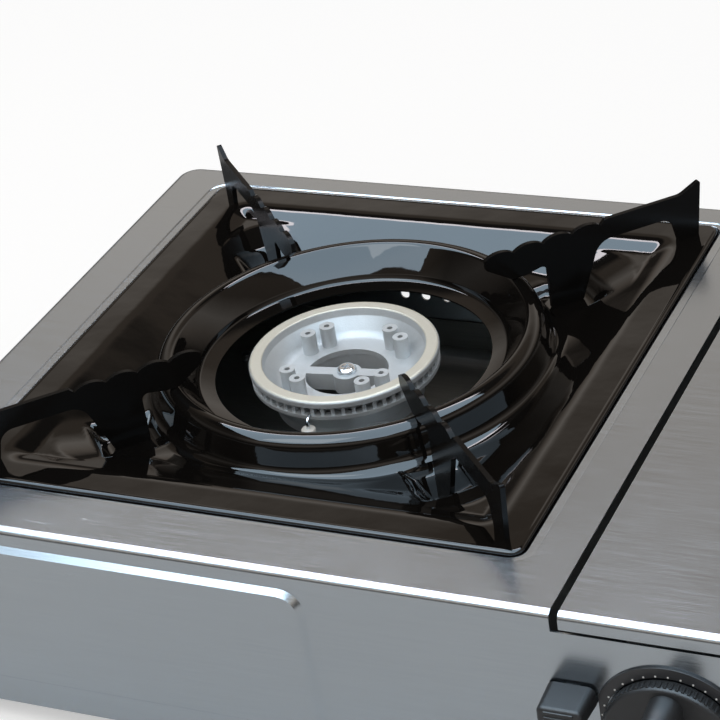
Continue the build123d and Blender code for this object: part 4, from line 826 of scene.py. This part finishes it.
def pan_loops():
    """Loops from the hole over the ring, the dish and the rim to the lower edge of the flange."""
    angles = loop_angles()
    line = rounded_line(RING_LINE, RING_BENDS, RING_STEP)
    loops = [[pan_point(r * math.cos(a), r * math.sin(a), z) for a in angles] for r, z in line]
    start, base = line[-1]
    square = PAN_HALF - SQUARE_INSET
    corner = DISH_CORNER - RIM_BEND[0]
    for i in range(1, LOOPS_TO_SQUARE + 1):
        share = i / LOOPS_TO_SQUARE
        radii = [start + (reach(a, square, square, corner) - start) * share for a in angles]
        loops.append([pan_point(r * math.cos(a), r * math.sin(a), base - RING_SINK * share)
                      for r, a in zip(radii, angles)])
    steps = round((SQUARE_INSET - EDGE_BEND) / INSET_STEP)
    for i in range(1, steps + 1):
        share = i / steps
        inset = SQUARE_INSET - (SQUARE_INSET - EDGE_BEND) * share
        rounding = corner + (EDGE_CORNER - EDGE_BEND - corner) * share
        radii = [reach(a, PAN_HALF - inset, PAN_HALF - inset, rounding) for a in angles]
        loops.append([pan_point(r * math.cos(a), r * math.sin(a), 0.0) for r, a in zip(radii, angles)])
    for inset, z in rounded_line(EDGE_LINE, [EDGE_ROUNDING], EDGE_STEP)[1:]:
        radii = [reach(a, PAN_HALF - inset, PAN_HALF - inset, EDGE_CORNER - inset) for a in angles]
        loops.append([Vector((PAN_X + r * math.cos(a) * MM, PAN_Y + r * math.sin(a) * MM, z * MM))
                      for r, a in zip(radii, angles)])
    return loops


pan = sheet_from_loops("pressed_pan", pan_loops(), PAN_SHEET, black_enamel)
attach(pan, "pan")
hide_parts("drip_pan")
ring_top = max(vert.co.z for vert in pan.data.vertices)
print("pan faces:", len(pan.data.polygons), "top of its ring, in mm:", round(ring_top / MM, 1))

# %% [markdown]
# ## Recess ledge
# Round the pan the deck steps down by less than a millimetre to a narrow ledge, and the pan hangs
# over its inner edge. The fixed model has a plain slope there. A thin ring of the same steel, made
# of loops again, adds the crease that catches the light all round the opening.

# %% Ledge round the pan
LEDGE_MARGIN = (4.2, 2.4)
LEDGE_OVERLAP = 0.8
LEDGE_CORNER = 9.0
LEDGE_DROP = 0.4
LEDGE_TUCK = 0.02
LEDGE_GAP = 0.9
LEDGE_SHEET = 0.5 * MM

# Along the section, a place is a share of the ledge's width.
LEDGE_FLAT_END = 0.82
LEDGE_RISE_END = 0.9
LEDGE_BENDS = [0.15, 0.05, 0.04]
LEDGE_STEP = 0.04


def ledge_loops():
    """Loops from the inner lip of the ledge up and out to the deck, by share of its width."""
    angles = loop_angles()
    deck = DECK_Z / MM
    lip = PAN_BED - deck + LEDGE_SHEET / MM
    corners = [(0, lip), (0, -LEDGE_DROP), (LEDGE_FLAT_END, -LEDGE_DROP),
               (LEDGE_RISE_END, -LEDGE_TUCK), (1, -LEDGE_TUCK)]
    widths = [margin + LEDGE_OVERLAP - LEDGE_GAP for margin in LEDGE_MARGIN]
    loops = []
    for share, drop in rounded_line(corners, LEDGE_BENDS, LEDGE_STEP):
        half_x, half_y = (PAN_HALF + LEDGE_GAP + width * share for width in widths)
        corner = EDGE_CORNER + LEDGE_GAP + (LEDGE_CORNER - EDGE_CORNER - LEDGE_GAP) * share
        radii = [reach(a, half_x, half_y, corner) for a in angles]
        z = (deck + drop) * MM
        loops.append([Vector((PAN_X + r * math.cos(a) * MM, PAN_Y + r * math.sin(a) * MM, z))
                      for r, a in zip(radii, angles)])
    return loops


ledge = sheet_from_loops("recess_ledge", ledge_loops(), LEDGE_SHEET, case_steel)
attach(ledge, "case")
print("ledge faces:", len(ledge.data.polygons))

# %% [markdown]
# ## Pot plates
# The four plates are stamped from sheet, so their edges are slightly round under the enamel, and
# the thick coat hides the stamping marks. Each is a copy of the fixed piece with a small bevel, and
# normals weighted by area keep its flats flat. The foot of the outer leg is trimmed to the height of
# the pan's rim, which it stands on.

# %% Plates with rounded edges
PLATE_BEVEL = 0.42 * MM
OUTER_LEG = 138.0 * MM
RIM_SEAT = 90.75 * MM
BEVEL_STEPS = 2
BEVEL_ABOVE = math.radians(28)
SAME_POINT = 0.002 * MM
SAME_FACE = math.radians(1)
LARGE_FACES_FIRST = 100


def rounded_copy(name, node, width, trim):
    """A copy of a fixed piece, merged, trimmed and with its edges rounded."""
    bm = bmesh.new()
    bm.from_mesh(frame["nodes"][node].data)
    bmesh.ops.remove_doubles(bm, verts=bm.verts, dist=SAME_POINT)
    bmesh.ops.dissolve_limit(bm, angle_limit=SAME_FACE, verts=bm.verts, edges=bm.edges)
    trim(bm)
    mesh = bpy.data.meshes.new(name)
    bm.to_mesh(mesh)
    bm.free()
    draft = bpy.data.objects.new(name, mesh)
    bpy.context.scene.collection.objects.link(draft)
    edge = draft.modifiers.new("edge", "BEVEL")
    edge.width = width
    edge.segments = BEVEL_STEPS
    edge.limit_method = "ANGLE"
    edge.angle_limit = BEVEL_ABOVE
    mesh.polygons.foreach_set("use_smooth", [True] * len(mesh.polygons))
    flats = draft.modifiers.new("flats", "WEIGHTED_NORMAL")
    flats.weight = LARGE_FACES_FIRST
    return draft


def stand_on_rim(bm):
    """Lifts the foot of a plate's outer leg to the top of the pan's rim."""
    for vert in bm.verts:
        if math.hypot(vert.co.x - PAN_X, vert.co.y - PAN_Y) > OUTER_LEG:
            vert.co.z = max(vert.co.z, RIM_SEAT)


for place in ("rear_right", "rear_left", "front_left", "front_right"):
    plate = rounded_copy("pot_plate_" + place, "pan_support_" + place, PLATE_BEVEL, stand_on_rim)
    plain_piece(plate, plate_enamel, smooth=False)
    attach(plate, "pan")
    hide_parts("pan_support_" + place)
    print(plate.name, "faces:", len(plate.data.polygons))

# %% [markdown]
# ## Ribs on the knob, dots on its bezel, bars on the lever
# Fingers need something to hold, so the knob's skirt carries fine ribs and the lever's front a few
# bars, and a ring of plain dots on the bezel shows how far the knob has turned. All three are the
# same rod repeated: round a circle or along a line. Two small Geometry Nodes trees do that, with
# their sizes as inputs, so a change of count is one number and not a new mesh.

# %% Trees that repeat a rod
ROD_SIDES = 12
ROD_INPUTS = {
    "Count": "NodeSocketInt",
    "Radius or Step": "NodeSocketFloat",
    "Rod Radius": "NodeSocketFloat",
    "Rod Length": "NodeSocketFloat",
    "Place": "NodeSocketVector",
    "Turn": "NodeSocketVector",
    "Material": "NodeSocketMaterial",
}


def rod_tree(name, on_circle):
    """A Geometry Nodes tree that stands a rod on each point of a circle or of a line."""
    tree = bpy.data.node_groups.new(name, "GeometryNodeTree")
    sockets = {}
    for label, kind in ROD_INPUTS.items():
        socket = tree.interface.new_socket(label, in_out="INPUT", socket_type=kind)
        sockets[label] = socket.identifier
    tree.interface.new_socket("Geometry", in_out="OUTPUT", socket_type="NodeSocketGeometry")
    start, end = tree.nodes.new("NodeGroupInput"), tree.nodes.new("NodeGroupOutput")
    points = tree.nodes.new("GeometryNodeMeshCircle" if on_circle else "GeometryNodeMeshLine")
    rod = tree.nodes.new("GeometryNodeMeshCylinder")
    rod.inputs["Vertices"].default_value = ROD_SIDES
    copies = tree.nodes.new("GeometryNodeInstanceOnPoints")
    placed = tree.nodes.new("GeometryNodeTransform")
    real = tree.nodes.new("GeometryNodeRealizeInstances")
    painted = tree.nodes.new("GeometryNodeSetMaterial")
    link = tree.links.new
    link(start.outputs["Rod Radius"], rod.inputs["Radius"])
    link(start.outputs["Rod Length"], rod.inputs["Depth"])
    if on_circle:
        link(start.outputs["Count"], points.inputs["Vertices"])
        link(start.outputs["Radius or Step"], points.inputs["Radius"])
    else:
        step = tree.nodes.new("ShaderNodeCombineXYZ")
        link(start.outputs["Radius or Step"], step.inputs["Y"])
        link(start.outputs["Count"], points.inputs["Count"])
        link(step.outputs[0], points.inputs["Offset"])
    link(points.outputs["Mesh"], copies.inputs["Points"])
    link(rod.outputs["Mesh"], copies.inputs["Instance"])
    link(copies.outputs["Instances"], placed.inputs["Geometry"])
    link(start.outputs["Place"], placed.inputs["Translation"])
    link(start.outputs["Turn"], placed.inputs["Rotation"])
    link(placed.outputs["Geometry"], real.inputs["Geometry"])
    link(real.outputs["Geometry"], painted.inputs["Geometry"])
    link(start.outputs["Material"], painted.inputs["Material"])
    link(painted.outputs["Geometry"], end.inputs["Geometry"])
    return tree, sockets


ROUND_TREE = rod_tree("rods_on_circle", on_circle=True)
ROW_TREE = rod_tree("rods_in_row", on_circle=False)
print("rod trees:", ROUND_TREE[0].name, ROW_TREE[0].name)

# %% [markdown]
# The ribs are half sunk into the knob's skirt, so no rod floats. Their places come from the box of
# the fixed knob, and they ride on the knob's body, so they turn with it.

# %% Ribs on the knob
knob_low, knob_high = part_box("control_knob")
KNOB_X = (knob_low.x + knob_high.x) / 2
KNOB_Z = (knob_low.z + knob_high.z) / 2
SKIRT_RADIUS = (knob_high.x - knob_low.x) / 2
SKIRT_DEPTH = 5.0 * MM
RIB_RADIUS = 0.55 * MM
RIB_LENGTH = 3.0 * MM
RIB_SINK = 0.1 * MM
RIB_COUNT = 72
TO_FRONT = (math.pi / 2, 0, 0)


def rods(name, tree_and_sockets, body, slot, material, **values):
    """A piece made by one of the two trees, turned into a plain mesh, riding on a body."""
    tree, sockets = tree_and_sockets
    draft = bpy.data.objects.new(name, bpy.data.meshes.new(name))
    bpy.context.scene.collection.objects.link(draft)
    repeat = draft.modifiers.new("repeat", "NODES")
    repeat.node_group = tree
    repeat[sockets["Material"]] = material
    for label, value in values.items():
        repeat[sockets[label.replace("_", " ")]] = value
    plain_piece(draft, material)
    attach(draft, body)
    print(name, "faces:", len(draft.data.polygons))


rods("knob_ribs", ROUND_TREE, "knob", "black_plastic", black_plastic, Count=RIB_COUNT,
     Radius_or_Step=SKIRT_RADIUS - RIB_SINK, Rod_Radius=RIB_RADIUS, Rod_Length=RIB_LENGTH,
     Place=(KNOB_X, knob_high.y - SKIRT_DEPTH / 2, KNOB_Z), Turn=TO_FRONT)

# %% [markdown]
# ## Bezel with a straight side
# The lever's handle slides down close beside the bezel. A maker would leave a gap there, so the copy
# of the bezel is cut straight on its left, and the dots lie on a circle that clears the handle too.

# %% Bezel and its dots
lever_low, lever_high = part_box("lever_handle")
LEVER_GAP = 0.5 * MM
BEZEL_LEFT = lever_high.x + LEVER_GAP
BEZEL_BEVEL = 0.15 * MM
DOT_MARGIN = 0.5 * MM
DOT_CIRCLE = KNOB_X - BEZEL_LEFT - DOT_MARGIN
DOT_RADIUS = 0.35 * MM
DOT_COUNT = 36
DOT_HEIGHT = 0.3 * MM
bezel_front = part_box("knob_bezel")[0].y


def clear_of_lever(bm):
    """Cuts the bezel's left side straight, so that the lever's handle passes it."""
    for vert in bm.verts:
        vert.co.x = max(vert.co.x, BEZEL_LEFT)


bezel_white = moulded("bezel_print", (0.72, 0.72, 0.70), (0.66, 0.66, 0.64),
                      rough=0.40, grains=2200.0, depth=0.00001)
rods("bezel_dots", ROUND_TREE, "case", "bezel_finish", bezel_white, Count=DOT_COUNT,
     Radius_or_Step=DOT_CIRCLE, Rod_Radius=DOT_RADIUS, Rod_Length=DOT_HEIGHT,
     Place=(KNOB_X, bezel_front, KNOB_Z), Turn=TO_FRONT)
bezel = rounded_copy("bezel_plate", "knob_bezel", BEZEL_BEVEL, clear_of_lever)
plain_piece(bezel, bezel_finish, smooth=False)
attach(bezel, "case")
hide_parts("knob_bezel")
print(bezel.name, "faces:", len(bezel.data.polygons))

# %% [markdown]
# ## Bars on the lever
# A thumb pushes the lever down, so its front carries a few bars that run across it. They are half
# sunk into the handle and ride on the lever's body.

# %% Bars on the lever
BAR_RADIUS = 0.5 * MM
BAR_STEP = 2.2 * MM
BAR_COUNT = 3
BAR_LENGTH = 10.0 * MM
ALONG_X = (math.pi / 2, 0, math.pi / 2)
lever_middle = (lever_low + lever_high) / 2
lowest_bar = lever_middle.z - BAR_STEP * (BAR_COUNT - 1) / 2
rods("lever_bars", ROW_TREE, "lever", "black_plastic", black_plastic, Count=BAR_COUNT,
     Radius_or_Step=BAR_STEP, Rod_Radius=BAR_RADIUS, Rod_Length=BAR_LENGTH,
     Place=(lever_middle.x, lever_low.y, lowest_bar), Turn=ALONG_X)
